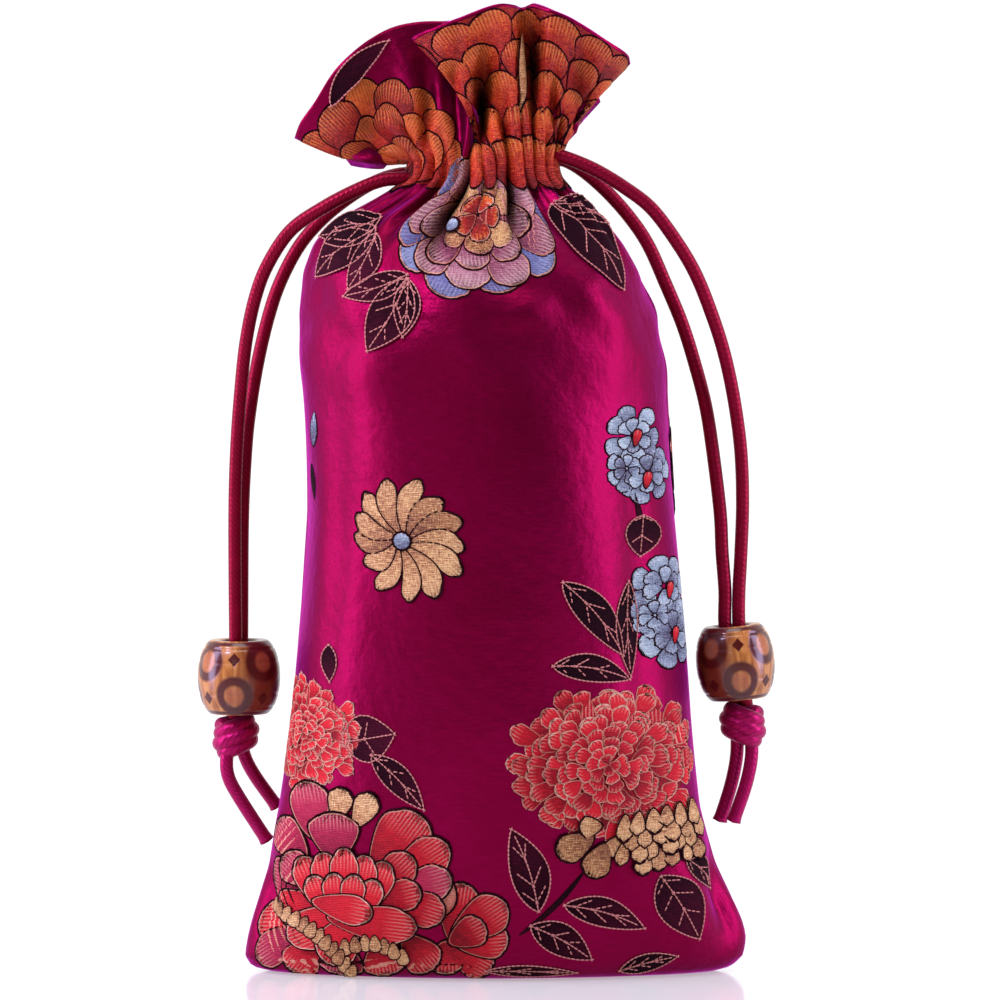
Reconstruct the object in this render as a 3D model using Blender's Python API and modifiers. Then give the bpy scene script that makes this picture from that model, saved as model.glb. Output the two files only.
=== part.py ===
"""Kinchaku drawstring pouch: a brocade bag drawn shut, with two drawstrings, a bead and a knot on each.

Metres, +Z up, front towards -Y, standing on z = 0.
"""

import math

import bmesh
import bpy
from mathutils import Matrix, Vector

MM = 0.001
GAP = 0.0003

# The filled body, from the base up: height, left edge, right edge, half depth, squareness (2 is an ellipse).
BODY_SECTIONS = [
    (0.0, -46.0, 44.5, 14.0, 1.75),
    (0.8, -49.2, 47.4, 16.0, 1.75),
    (3.0, -50.5, 49.8, 17.8, 1.75),
    (6.8, -49.8, 50.5, 19.6, 1.8),
    (10.0, -48.9, 49.8, 20.8, 1.85),
    (14.0, -47.5, 48.2, 22.2, 1.9),
    (21.4, -45.1, 44.9, 24.6, 1.95),
    (33.2, -42.9, 41.6, 27.4, 2.0),
    (50.4, -40.5, 39.4, 29.6, 2.05),
    (73.6, -38.9, 36.9, 30.6, 2.05),
    (91.8, -38.3, 35.6, 30.2, 2.05),
    (112.8, -38.9, 34.1, 29.0, 2.0),
    (131.8, -39.4, 31.5, 26.6, 2.0),
    (140.0, -38.4, 29.0, 24.4, 2.0),
    (146.0, -35.6, 25.6, 20.8, 2.0),
    (150.6, -30.8, 21.8, 16.6, 2.0),
    (154.6, -23.2, 17.4, 12.2, 2.0),
    (158.4, -17.0, 12.6, 9.0, 2.0),
    (162.0, -16.4, 11.9, 8.4, 2.0),
]

# The frill above the casing opens like a fan: share of the way from left to right, x, z of its rim.
FRILL_RIM = [
    (-1.0, -40.0, 166.8),
    (-0.86, -36.1, 173.6),
    (-0.7, -32.1, 179.8),
    (-0.52, -26.9, 184.8),
    (-0.36, -21.5, 188.2),
    (-0.2, -16.1, 189.6),
    (0.0, -9.0, 190.2),
    (0.2, -1.5, 192.0),
    (0.38, 5.9, 193.0),
    (0.55, 12.0, 191.4),
    (0.72, 18.4, 188.2),
    (0.88, 23.6, 185.0),
    (1.0, 26.4, 181.4),
]
FRILL_NECK_Z = 163.4
FRILL_HALF_DEPTH = 13.0
FRILL_DISH = 9.0
AROUND = 40
FRILL_STEPS = 7

CORD_D = 2.7
BEAD_LENGTH = 14.8
BEAD_BORE_R = 3.4
BEAD_R = {"left": 8.3, "right": 7.9}

# The middle of each bead, and the line through its bore, pointing up.
BEAD_AT = {"left": (-51.7, 5.0, 58.6), "right": (48.0, 2.0, 61.8)}
BEAD_UP = {"left": (0.0, 0.0, 1.0), "right": (-0.09, 0.0, 1.0)}

# Each drawstring leaves the casing twice: the front run down to the knot, and the back run up again.
CORD_ROUTE = {
    "left": (
        [
            (-18.9, -1.6, 158.6), (-22.8, -2.2, 158.2), (-27.6, -2.6, 156.4), (-34.3, -2.4, 152.9),
            (-40.9, -1.2, 148.3), (-45.6, 0.2, 141.4), (-48.2, 1.4, 134.6), (-50.0, 2.4, 126.2),
            (-51.1, 3.0, 116.6), (-52.0, 3.3, 104.4), (-52.4, 3.5, 90.0), (-52.3, 3.6, 66.4), (-52.0, 3.6, 56.0),
        ],
        [
            (-51.4, 6.4, 56.0), (-51.2, 6.4, 66.4), (-51.0, 6.5, 90.0), (-50.3, 7.0, 104.4), (-49.4, 7.6, 112.8),
            (-47.8, 8.6, 122.4), (-45.6, 9.8, 131.6), (-43.2, 10.6, 138.4), (-39.4, 10.8, 145.4),
            (-34.4, 10.2, 151.0), (-28.4, 8.8, 155.6), (-23.2, 6.8, 158.4), (-18.6, 4.6, 159.6),
        ],
    ),
    "right": (
        [
            (13.8, -2.2, 162.8), (19.6, -2.8, 160.4), (25.6, -3.0, 156.8), (31.0, -2.8, 152.6), (36.0, -2.2, 146.0),
            (39.8, -1.2, 139.6), (43.0, 0.0, 131.8), (45.6, 1.0, 123.8), (47.6, 1.6, 114.6), (49.0, 2.0, 104.4),
            (49.4, 2.0, 94.0), (49.1, 2.0, 84.0), (48.7, 2.0, 76.0), (48.7, 2.0, 69.4), (49.3, 2.0, 58.6),
        ],
        [
            (46.6, 2.0, 58.6), (45.9, 2.0, 69.4), (45.9, 2.0, 76.0), (45.3, 2.0, 84.0), (44.9, 2.2, 92.0),
            (43.4, 3.0, 104.4), (42.0, 3.8, 113.2), (39.9, 4.8, 121.4), (37.4, 5.8, 129.4), (34.0, 6.6, 137.6),
            (30.6, 7.0, 145.2), (27.0, 6.8, 150.6), (22.4, 6.0, 155.8), (17.6, 4.8, 160.0), (13.8, 3.4, 162.2),
        ],
    ),
}
ROUTE_BOTTOM = {"left": (-51.7, 5.0, 52.9), "right": (48.1, 2.0, 56.0)}

# Each knot: middle, half sizes, then the two tails below it.
KNOT_AT = {"left": (-52.6, 5.0, 46.1), "right": (49.6, 2.0, 48.8)}
KNOT_HALF = {"left": (4.5, 4.2, 4.6), "right": (4.4, 4.0, 4.5)}
TAILS = {
    "left": (
        [(-53.9, 3.4, 44.4), (-54.2, 3.2, 40.6), (-52.4, 3.6, 36.0), (-49.2, 4.6, 30.6), (-46.2, 6.2, 25.4)],
        [(-51.2, 7.4, 44.6), (-50.4, 8.2, 41.0), (-48.0, 9.4, 37.0), (-44.6, 11.0, 32.0)],
    ),
    "right": (
        [(51.4, 1.4, 47.6), (51.2, 1.2, 42.0), (49.6, 0.8, 36.0), (47.4, 0.4, 29.8)],
        [(48.6, 3.6, 47.4), (48.2, 4.0, 42.0), (46.8, 3.9, 36.0), (45.2, 3.8, 29.6)],
    ),
}

COLORS = {
    "brocade": (0.42, 0.02, 0.14, 0.42),
    "cord_satin": (0.36, 0.004, 0.06, 0.4),
    "bead_wood": (0.42, 0.17, 0.07, 0.25),
}


def clear_scene():
    for obj in list(bpy.data.objects):
        bpy.data.objects.remove(obj, do_unlink=True)


def collection(name, hidden):
    made = bpy.data.collections.new(name)
    bpy.context.scene.collection.children.link(made)
    made.hide_render = hidden
    return made


def material(name):
    red, green, blue, rough = COLORS[name]
    made = bpy.data.materials.new(name)
    made.use_nodes = True
    shader = made.node_tree.nodes["Principled BSDF"]
    shader.inputs["Base Color"].default_value = (red, green, blue, 1.0)
    shader.inputs["Roughness"].default_value = rough
    shader.inputs["Metallic"].default_value = 0.0
    return made


def object_from(name, mesh, home, look):
    obj = bpy.data.objects.new(name, mesh)
    home.objects.link(obj)
    mesh.materials.append(look)
    return obj


def power(value, exponent):
    return math.copysign(abs(value) ** exponent, value)


def body_ring(z, left, right, half_depth, square):
    middle = (left + right) / 2
    half = (right - left) / 2
    ring = []
    for i in range(AROUND):
        turn = 2 * math.pi * i / AROUND
        x = middle + half * power(math.cos(turn), 2 / square)
        y = half_depth * power(math.sin(turn), 2 / square)
        ring.append(Vector((x, y, z)) * MM)
    return ring


def rim_at(share):
    for low, high in zip(FRILL_RIM, FRILL_RIM[1:]):
        if share <= high[0]:
            part = (share - low[0]) / (high[0] - low[0])
            return (low[1] + (high[1] - low[1]) * part, low[2] + (high[2] - low[2]) * part)
    return FRILL_RIM[-1][1:]


def frill_ring(step, inside):
    """One ring of the frill, from the neck at step 0 to the rim at step 1."""
    neck = BODY_SECTIONS[-1]
    middle = (neck[1] + neck[2]) / 2
    half = (neck[2] - neck[1]) / 2
    depth = neck[3] + (FRILL_HALF_DEPTH - neck[3]) * step
    ring = []
    for i in range(AROUND):
        turn = 2 * math.pi * i / AROUND
        share = math.cos(turn)
        rim_x, rim_z = rim_at(share)
        x = middle + half * share + (rim_x - middle - half * share) * step
        sag = 2.2 * math.sin(math.pi * step) * max(0.0, -share) ** 3
        z = FRILL_NECK_Z + (rim_z - FRILL_NECK_Z) * step - sag
        y = depth * math.sin(turn) * (1 - 0.35 * step * abs(share) ** 4)
        if inside:
            x = middle + (x - middle) * 0.93
            z -= inside * (1 - abs(share) ** 3)
            y *= 0.9
        ring.append(Vector((x, y, z)) * MM)
    return ring


def loft(rings):
    """One closed skin through the rings, with a flat face on the first and the last."""
    bm = bmesh.new()
    rows = [[bm.verts.new(p) for p in ring] for ring in rings]
    for low, high in zip(rows, rows[1:]):
        for i in range(AROUND):
            j = (i + 1) % AROUND
            bm.faces.new((low[i], low[j], high[j], high[i]))
    bm.faces.new(list(reversed(rows[0])))
    bm.faces.new(rows[-1])
    bmesh.ops.triangulate(bm, faces=[f for f in bm.faces if len(f.verts) > 4])
    bmesh.ops.recalc_face_normals(bm, faces=bm.faces[:])
    mesh = bpy.data.meshes.new("loft")
    bm.to_mesh(mesh)
    bm.free()
    return mesh


def build_bag(home):
    rings = [body_ring(*section) for section in BODY_SECTIONS]
    rings += [frill_ring(0.06 + 0.94 * i / FRILL_STEPS, 0.0) for i in range(FRILL_STEPS + 1)]
    dished = frill_ring(1.0, FRILL_DISH)
    centre = sum(dished, Vector()) / len(dished)
    rings.append([p.lerp(centre, 0.12) for p in dished])
    rings.append([p.lerp(centre, 0.6) for p in dished])
    return object_from("brocade_bag", loft(rings), home, material("brocade"))


def smooth_route(points, spacing):
    """Points along a smooth curve through the route, evenly spaced."""
    nodes = [Vector(p) for p in points]
    ends = [nodes[0] * 2 - nodes[1]] + nodes + [nodes[-1] * 2 - nodes[-2]]
    dense = []
    for a, b, c, d in zip(ends, ends[1:], ends[2:], ends[3:]):
        for k in range(24):
            t = k / 24
            dense.append(
                0.5 * (2 * b + (c - a) * t + (2 * a - 5 * b + 4 * c - d) * t**2 + (3 * b - a - 3 * c + d) * t**3)
            )
    dense.append(nodes[-1])
    lengths = [0.0]
    for a, b in zip(dense, dense[1:]):
        lengths.append(lengths[-1] + (b - a).length)
    count = max(3, round(lengths[-1] / spacing))
    taken, at = [], 0
    for i in range(count + 1):
        goal = lengths[-1] * i / count
        while at < len(lengths) - 2 and lengths[at + 1] < goal:
            at += 1
        span = lengths[at + 1] - lengths[at]
        taken.append(dense[at].lerp(dense[at + 1], (goal - lengths[at]) / span if span else 0.0))
    return [p * MM for p in taken]


def cord_tube(name, points, home):
    curve = bpy.data.curves.new(name, "CURVE")
    curve.dimensions = "3D"
    curve.bevel_depth = CORD_D / 2 * MM
    curve.bevel_resolution = 2
    curve.use_fill_caps = True
    spline = curve.splines.new("POLY")
    spline.points.add(len(points) - 1)
    for point, at in zip(spline.points, points):
        point.co = (*at, 1.0)
    obj = bpy.data.objects.new(name, curve)
    home.objects.link(obj)
    return obj


def build_drawstring(side, home, look):
    front, back = CORD_ROUTE[side]
    route = smooth_route(front + [ROUTE_BOTTOM[side]] + back, CORD_D * 1.5)
    obj = cord_tube(side + "_drawstring", route, home)
    obj.data.materials.append(look)
    return obj


def mesh_of(obj):
    """The curve's tube as a mesh object in the same place, with the curve removed."""
    mesh = bpy.data.meshes.new_from_object(obj)
    name, home = obj.name, obj.users_collection[0]
    bpy.data.objects.remove(obj, do_unlink=True)
    bm = bmesh.new()
    bm.from_mesh(mesh)
    bmesh.ops.remove_doubles(bm, verts=bm.verts[:], dist=1e-6)
    bmesh.ops.recalc_face_normals(bm, faces=bm.faces[:])
    bm.to_mesh(mesh)
    bm.free()
    made = bpy.data.objects.new(name, mesh)
    home.objects.link(made)
    return made


def add_boolean(obj, other, operation):
    modifier = obj.modifiers.new(operation.title(), "BOOLEAN")
    modifier.operation = operation
    modifier.solver = "EXACT"
    modifier.object = other


def build_knot(side, home, helpers, look):
    """The tied lump and the two cord ends that leave it."""
    bm = bmesh.new()
    bmesh.ops.create_uvsphere(bm, u_segments=20, v_segments=12, radius=1.0)
    bmesh.ops.scale(bm, vec=Vector(KNOT_HALF[side]) * MM, verts=bm.verts[:])
    mesh = bpy.data.meshes.new(side + "_knot")
    bm.to_mesh(mesh)
    bm.free()
    knot = object_from(side + "_knot", mesh, home, look)
    knot.location = Vector(KNOT_AT[side]) * MM
    for i, tail in enumerate(TAILS[side]):
        route = smooth_route(tail, CORD_D * 1.2)
        tube = mesh_of(cord_tube(f"{side}_tail_{i}", route, helpers))
        tube.display_type = "WIRE"
        add_boolean(knot, tube, "UNION")
    return knot


def build_bead(side, home, look):
    """A turned barrel: the outline runs down the outside and back up the bore."""
    half, wide = BEAD_LENGTH / 2, BEAD_R[side]
    outline = [(BEAD_BORE_R + 0.5, half)]
    for i in range(13):
        angle = math.radians(66 - 132 * i / 12)
        z = half * math.sin(angle) / math.sin(math.radians(66))
        outline.append((wide * (0.36 + 0.64 * math.cos(angle) ** 0.72), z))
    outline += [(BEAD_BORE_R + 0.5, -half), (BEAD_BORE_R, -half + 0.5), (BEAD_BORE_R, half - 0.5)]
    mesh = bpy.data.meshes.new(side + "_bead")
    count = len(outline)
    edges = [(i, (i + 1) % count) for i in range(count)]
    mesh.from_pydata([(r * MM, 0.0, z * MM) for r, z in outline], edges, [])
    bead = object_from(side + "_bead", mesh, home, look)
    turn = bead.modifiers.new("Turned", "SCREW")
    turn.angle = 2 * math.pi
    turn.steps = 48
    turn.render_steps = 48
    turn.use_merge_vertices = True
    turn.merge_threshold = 0.00001
    up = Vector(BEAD_UP[side]).normalized()
    bead.matrix_world = Matrix.Translation(Vector(BEAD_AT[side]) * MM) @ up.to_track_quat("Z", "Y").to_matrix().to_4x4()
    return bead


def main():
    clear_scene()
    home = collection("kinchaku_pouch", False)
    helpers = collection("cutters", True)
    build_bag(home)
    cord = material("cord_satin")
    wood = material("bead_wood")
    for side in ("left", "right"):
        build_drawstring(side, home, cord)
        build_knot(side, home, helpers, cord)
        build_bead(side, home, wood)


main()
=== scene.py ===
"""The looks of a kinchaku: a small drawstring pouch of satin brocade, drawn shut and standing.

The bag is one sheet, gathered at the casing into a fan-shaped frill. Its flowers and leaves are woven
in raised threads, each laid on the cloth's own surface. Cords, knots and wooden beads hang at its sides.
Metres in the finished meshes; the makers below work in millimetres. The front faces -Y.
"""

import math
import random

import bmesh
import bpy
import numpy as np
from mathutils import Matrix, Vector


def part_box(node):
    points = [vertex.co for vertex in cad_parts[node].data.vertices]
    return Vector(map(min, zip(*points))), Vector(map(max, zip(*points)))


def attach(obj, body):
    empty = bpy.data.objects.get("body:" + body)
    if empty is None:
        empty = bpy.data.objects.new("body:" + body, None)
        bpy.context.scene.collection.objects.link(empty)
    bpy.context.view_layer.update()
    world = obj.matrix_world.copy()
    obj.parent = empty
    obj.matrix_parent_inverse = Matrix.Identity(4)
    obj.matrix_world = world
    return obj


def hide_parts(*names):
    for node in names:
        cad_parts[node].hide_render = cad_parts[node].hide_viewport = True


MM = 0.001
SEED = 7

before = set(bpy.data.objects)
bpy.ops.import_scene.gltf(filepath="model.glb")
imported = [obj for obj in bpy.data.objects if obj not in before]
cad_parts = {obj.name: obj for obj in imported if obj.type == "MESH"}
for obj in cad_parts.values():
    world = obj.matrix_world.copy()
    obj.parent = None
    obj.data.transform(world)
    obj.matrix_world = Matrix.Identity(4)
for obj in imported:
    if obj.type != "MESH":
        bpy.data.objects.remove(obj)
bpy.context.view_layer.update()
COOL_WHITE = (0.96, 0.85, 1.35)


# ---------------------------------------------------------------- camera, light and floor


def middle_of(box):
    return (Vector(box[0]) + Vector(box[1])) / 2


def add_camera():
    """A long lens, level with the lower half and a little above it."""
    low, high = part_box("brocade_bag")
    aim_right, aim_down = 0.0008, 0.0019
    aim = Vector(((low[0] + high[0]) / 2 + aim_right, 0.0, (low[2] + high[2]) / 2 - aim_down))
    distance, rise = 1.2, math.radians(3.0)
    camera = bpy.data.objects.new("camera", bpy.data.cameras.new("camera"))
    bpy.context.scene.collection.objects.link(camera)
    camera.location = aim + Vector((0.0, -math.cos(rise), math.sin(rise))) * distance
    camera.rotation_euler = (math.pi / 2 - rise, 0.0, 0.0)
    camera.data.sensor_width = 36.0
    camera.data.lens = 36.0 * distance / 0.2
    bpy.context.scene.camera = camera


def add_softbox(name, at, aim, size, power, colour=(1.0, 1.0, 1.0)):
    lamp = bpy.data.lights.new(name, "AREA")
    lamp.shape = "RECTANGLE"
    lamp.size, lamp.size_y = size
    lamp.energy = power
    lamp.color = colour
    box = bpy.data.objects.new(name, lamp)
    bpy.context.scene.collection.objects.link(box)
    box.location = at
    box.rotation_euler = (Vector(aim) - Vector(at)).to_track_quat("-Z", "Y").to_euler()


def add_lights():
    """Softboxes at both sides and above, in a white room that is dim behind the camera."""
    aim = (0.0, 0.0, 0.09)
    add_softbox("softbox_left", (-0.62, -0.10, 0.24), aim, (0.24, 0.60), 3.7, COOL_WHITE)
    add_softbox("softbox_right", (0.62, -0.14, 0.26), aim, (0.24, 0.60), 3.5, COOL_WHITE)
    add_softbox("softbox_top", (0.0, -0.22, 0.85), aim, (0.5, 0.35), 2.6)
    add_softbox("softbox_front", (-0.25, -0.95, 0.35), aim, (0.25, 0.25), 0.4)
    add_softbox("softbox_high", (-0.42, -0.40, 0.62), (0.0, 0.0, 0.16), (0.16, 0.16), 3.2, COOL_WHITE)
    world = bpy.data.worlds.new("studio")
    world.use_nodes = True
    tree = world.node_tree
    sky = tree.nodes["Background"]
    way = tree.nodes.new("ShaderNodeTexCoord")
    split = tree.nodes.new("ShaderNodeSeparateXYZ")
    dim = tree.nodes.new("ShaderNodeMapRange")
    for key, value in (("From Min", -0.35), ("From Max", 0.45), ("To Min", 0.07), ("To Max", 1.05)):
        dim.inputs[key].default_value = value
    tree.links.new(way.outputs["Generated"], split.inputs[0])
    tree.links.new(split.outputs["Y"], dim.inputs["Value"])
    tree.links.new(dim.outputs["Result"], sky.inputs["Strength"])
    sky.inputs["Color"].default_value = (1.0, 1.0, 1.0, 1.0)
    bpy.context.scene.world = world
    bpy.context.scene.view_settings.view_transform = "Standard"


def add_floor():
    mesh = bpy.data.meshes.new("floor")
    bm = bmesh.new()
    bmesh.ops.create_grid(bm, x_segments=2, y_segments=2, size=6.0)
    bm.to_mesh(mesh)
    bm.free()
    floor = bpy.data.objects.new("floor", mesh)
    bpy.context.scene.collection.objects.link(floor)
    floor.location.z = -0.0002
    paint = bpy.data.materials.new("pale_floor")
    paint.use_nodes = True
    shader = paint.node_tree.nodes["Principled BSDF"]
    shader.inputs["Base Color"].default_value = (0.42, 0.42, 0.42, 1.0)
    shader.inputs["Roughness"].default_value = 0.14
    shader.inputs["Emission Color"].default_value = (1.0, 1.0, 1.0, 1.0)
    shader.inputs["Emission Strength"].default_value = 0.36
    mesh.materials.append(paint)


# ---------------------------------------------------------------- small makers


class Wiring:
    """Adds shader nodes to one material and joins them."""

    def __init__(self, name):
        self.material = bpy.data.materials.new(name)
        self.material.use_nodes = True
        self.tree = self.material.node_tree
        self.shader = self.tree.nodes["Principled BSDF"]

    def node(self, kind, **settings):
        made = self.tree.nodes.new(kind)
        inputs = settings.pop("inputs", {})
        for key, value in settings.items():
            setattr(made, key, value)
        for key, value in inputs.items():
            if isinstance(value, bpy.types.NodeSocket):
                self.tree.links.new(value, made.inputs[key])
            else:
                made.inputs[key].default_value = value
        return made

    def math(self, operation, first, second=0.0, clamp=False):
        return self.node(
            "ShaderNodeMath", operation=operation, use_clamp=clamp, inputs={0: first, 1: second}
        ).outputs[0]

    def attribute(self, name):
        return self.node("ShaderNodeAttribute", attribute_name=name).outputs["Fac"]

    def mix(self, share, first, second, blend="MIX"):
        made = self.node("ShaderNodeMix", data_type="RGBA", blend_type=blend)
        for index, value in ((0, share), (6, first), (7, second)):
            if isinstance(value, bpy.types.NodeSocket):
                self.tree.links.new(value, made.inputs[index])
            else:
                made.inputs[index].default_value = value
        return made.outputs[2]

    def ramp(self, share, stops):
        made = self.node("ShaderNodeValToRGB", inputs={0: share})
        band = made.color_ramp
        while len(band.elements) < len(stops):
            band.elements.new(0.5)
        for element, (place, colour) in zip(band.elements, stops):
            element.position = place
            element.color = colour
        return made.outputs["Color"]

    def uv(self, scale=(1.0, 1.0, 1.0), turn=0.0):
        source = self.node("ShaderNodeUVMap", uv_map="cloth")
        mapped = self.node("ShaderNodeMapping", inputs={"Vector": source.outputs[0]})
        mapped.inputs["Scale"].default_value = scale
        mapped.inputs["Rotation"].default_value = (0.0, 0.0, turn)
        return mapped.outputs[0]

    def noise(self, vector, scale, detail=2.0, rough=0.5):
        return self.node(
            "ShaderNodeTexNoise",
            inputs={"Vector": vector, "Scale": scale, "Detail": detail, "Roughness": rough}
        ).outputs["Fac"]

    def bump(self, height, strength, distance, under=None):
        made = self.node(
            "ShaderNodeBump", inputs={"Height": height, "Strength": strength, "Distance": distance}
        )
        if under is not None:
            self.tree.links.new(under, made.inputs["Normal"])
        return made.outputs[0]

    def finish(self, colour, rough, normal=None, **constants):
        for name, value in (("Base Color", colour), ("Roughness", rough), ("Normal", normal)):
            if isinstance(value, bpy.types.NodeSocket):
                self.tree.links.new(value, self.shader.inputs[name])
            elif value is not None:
                self.shader.inputs[name].default_value = value
        for name, value in constants.items():
            self.shader.inputs[name.replace("_", " ")].default_value = value
        return self.material


def mesh_piece(name, points, faces, look, uv=None, values=None, smooth=True):
    """A mesh object from points in millimetres, with a UV pair and named values for each point if given."""
    mesh = bpy.data.meshes.new(name)
    mesh.from_pydata((np.asarray(points) * MM).tolist(), [], faces)
    if uv is not None:
        layer = mesh.uv_layers.new(name="cloth")
        corners = np.empty(len(mesh.loops), np.int32)
        mesh.loops.foreach_get("vertex_index", corners)
        layer.data.foreach_set("uv", np.asarray(uv, np.float32)[corners].ravel())
    for key, data in (values or {}).items():
        mesh.attributes.new(key, "FLOAT", "POINT").data.foreach_set("value", np.asarray(data, np.float32))
    mesh.polygons.foreach_set("use_smooth", [smooth] * len(mesh.polygons))
    mesh.materials.append(look)
    mesh.update()
    piece = bpy.data.objects.new(name, mesh)
    bpy.context.scene.collection.objects.link(piece)
    return piece


def smooth_route(points, spacing):
    """Points along a smooth curve through the route, evenly spaced, as an array."""
    nodes = np.array(points, float)
    ends = np.vstack([2 * nodes[0] - nodes[1], nodes, 2 * nodes[-1] - nodes[-2]])
    dense = []
    for a, b, c, d in zip(ends, ends[1:], ends[2:], ends[3:]):
        for t in np.arange(0, 1, 1 / 24):
            dense.append(
                0.5 * (
                    2 * b + (c - a) * t + (2 * a - 5 * b + 4 * c - d) * t**2
                    + (3 * b - a - 3 * c + d) * t**3
                )
            )
    dense = np.array(dense + [nodes[-1]])
    along = np.r_[0, np.cumsum(np.linalg.norm(np.diff(dense, axis=0), axis=1))]
    taken = np.linspace(0, along[-1], max(3, round(along[-1] / spacing)) + 1)
    return np.stack([np.interp(taken, along, dense[:, k]) for k in range(3)], axis=1)


def tube_parts(route, radius, sides=16, flare=0.0):
    """Points, faces and UVs of a closed tube along a route. flare widens its far end."""
    steps = np.gradient(route, axis=0)
    steps /= np.linalg.norm(steps, axis=1)[:, None]
    side = np.cross(steps[0], (0.0, 1.0, 0.3))
    side /= np.linalg.norm(side)
    along = np.r_[0, np.cumsum(np.linalg.norm(np.diff(route, axis=0), axis=1))]
    points, uv = [], []
    for at, step, far in zip(route, steps, along):
        side = side - step * side.dot(step)
        side /= np.linalg.norm(side)
        other = np.cross(step, side)
        left = along[-1] - far
        grown = radius * (1 + flare * max(0.0, 1 - left / 1.6) ** 2)
        for k in range(sides):
            turn = 2 * math.pi * k / sides
            points.append(at + grown * (math.cos(turn) * side + math.sin(turn) * other))
            uv.append((k / sides, far))
    rows = len(route)
    faces = []
    for j in range(rows - 1):
        for k in range(sides):
            low, high = j * sides, (j + 1) * sides
            faces.append((low + k, low + (k + 1) % sides, high + (k + 1) % sides, high + k))
    for row, reach, order in ((0, -0.35, 1), (rows - 1, 0.25, -1)):
        points.append(route[row] + steps[row] * reach * radius)
        uv.append((0.5, along[row]))
        tip = len(points) - 1
        base = row * sides
        for k in range(sides):
            pair = (base + k, base + (k + 1) % sides)
            faces.append((tip, pair[1], pair[0]) if order > 0 else (tip, pair[0], pair[1]))
    return points, faces, uv


def tubes_piece(name, tubes, look):
    """Several closed tubes as one piece."""
    points, faces, uv = [], [], []
    for more_points, more_faces, more_uv in tubes:
        shift = len(points)
        points += list(more_points)
        uv += more_uv
        faces += [tuple(i + shift for i in face) for face in more_faces]
    return mesh_piece(name, points, faces, look, uv)


# ---------------------------------------------------------------- cords, knots and beads

CORD_R = 1.35
CORD_ROUTE = {
    "left": (
        [
            (-16.2, -1.0, 158.6), (-18.9, -1.6, 158.6), (-22.8, -2.2, 158.2), (-27.6, -2.6, 156.4),
            (-34.3, -2.4, 152.9), (-40.9, -1.2, 148.3), (-45.6, 0.2, 141.4), (-48.2, 1.4, 134.6),
            (-50.0, 2.4, 126.2), (-51.1, 3.0, 116.6), (-52.0, 3.3, 104.4), (-52.4, 3.5, 90.0),
            (-52.3, 3.6, 66.4), (-52.2, 3.7, 56.0), (-52.5, 4.2, 50.2),
        ],
        [
            (-16.0, 4.0, 159.2), (-18.6, 4.6, 159.6), (-23.2, 6.8, 158.4), (-28.4, 8.8, 155.6),
            (-34.4, 10.2, 151.0), (-39.4, 10.8, 145.4), (-43.2, 10.6, 138.4), (-45.6, 9.8, 131.6),
            (-47.8, 8.6, 122.4), (-49.4, 7.6, 112.8), (-50.3, 7.0, 104.4), (-51.0, 6.5, 90.0),
            (-51.2, 6.4, 66.4), (-51.4, 6.4, 56.0), (-52.2, 5.9, 50.2),
        ],
    ),
    "right": (
        [
            (11.4, -1.8, 163.2), (13.8, -2.2, 162.8), (19.6, -2.8, 160.4), (25.6, -3.0, 156.8),
            (31.0, -2.8, 152.6), (36.0, -2.2, 146.0), (39.8, -1.2, 139.6), (43.0, 0.0, 131.8),
            (45.6, 1.0, 123.8), (47.6, 1.6, 114.6), (49.0, 2.0, 104.4), (49.4, 2.0, 94.0),
            (49.1, 2.0, 84.0), (48.7, 2.0, 76.0), (48.7, 2.0, 69.4), (49.3, 1.9, 60.6), (50.2, 1.4, 53.2),
        ],
        [
            (11.4, 3.0, 162.4), (13.8, 3.4, 162.2), (17.6, 4.8, 160.0), (22.4, 6.0, 155.8),
            (27.0, 6.8, 150.6), (30.6, 7.0, 145.2), (34.0, 6.6, 137.6), (37.4, 5.8, 129.4),
            (39.9, 4.8, 121.4), (42.0, 3.8, 113.2), (43.4, 3.0, 104.4), (44.9, 2.2, 92.0),
            (45.3, 2.0, 84.0), (45.9, 2.0, 76.0), (45.9, 2.0, 69.4), (46.9, 2.1, 60.6), (48.8, 2.6, 53.2),
        ],
    ),
}
# The two ends below each knot, from inside it down to the cut.
TAILS = {
    "left": (
        [(-53.2, 4.0, 46.0), (-54.1, 3.0, 42.4), (-53.8, 3.1, 38.6), (-51.6, 3.8, 34.2), (-46.2, 6.0, 25.4)],
        [(-51.6, 6.4, 46.4), (-50.6, 8.0, 42.0), (-48.6, 9.2, 38.0), (-44.4, 11.0, 31.8)],
    ),
    "right": (
        [(50.9, 1.4, 49.0), (51.3, 1.1, 43.4), (50.2, 0.8, 37.4), (47.6, 0.4, 29.8)],
        [(48.4, 3.4, 49.0), (48.4, 3.8, 43.0), (47.3, 3.9, 37.0), (45.0, 3.8, 29.6)],
    ),
}
KNOT_TILT = {"left": 0.34, "right": -0.3}


def wrap_route(centre, tilt, lane, mirror):
    """One strand's turn round the middle of the knot, rising or falling as it goes."""
    points = []
    for i in range(15):
        turn = math.radians(-78 + 27.0 * i)
        radius = 3.0 - 0.55 * abs(lane) + 0.2 * math.sin(2 * turn)
        x = mirror * radius * math.sin(turn)
        y = radius * 0.94 * math.cos(turn)
        z = lane * 1.85 + tilt * x + (i / 14 - 0.5) * -1.5
        points.append(Vector(centre) + Vector((x + lane * -tilt * 0.9, y, z)))
    inward = [Vector(centre) + Vector((0.0, 1.0, lane * 0.6 + 0.8))]
    outward = [Vector(centre) + Vector((0.3, 0.8, lane * 0.6 - 0.8))]
    return inward + points + outward


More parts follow.
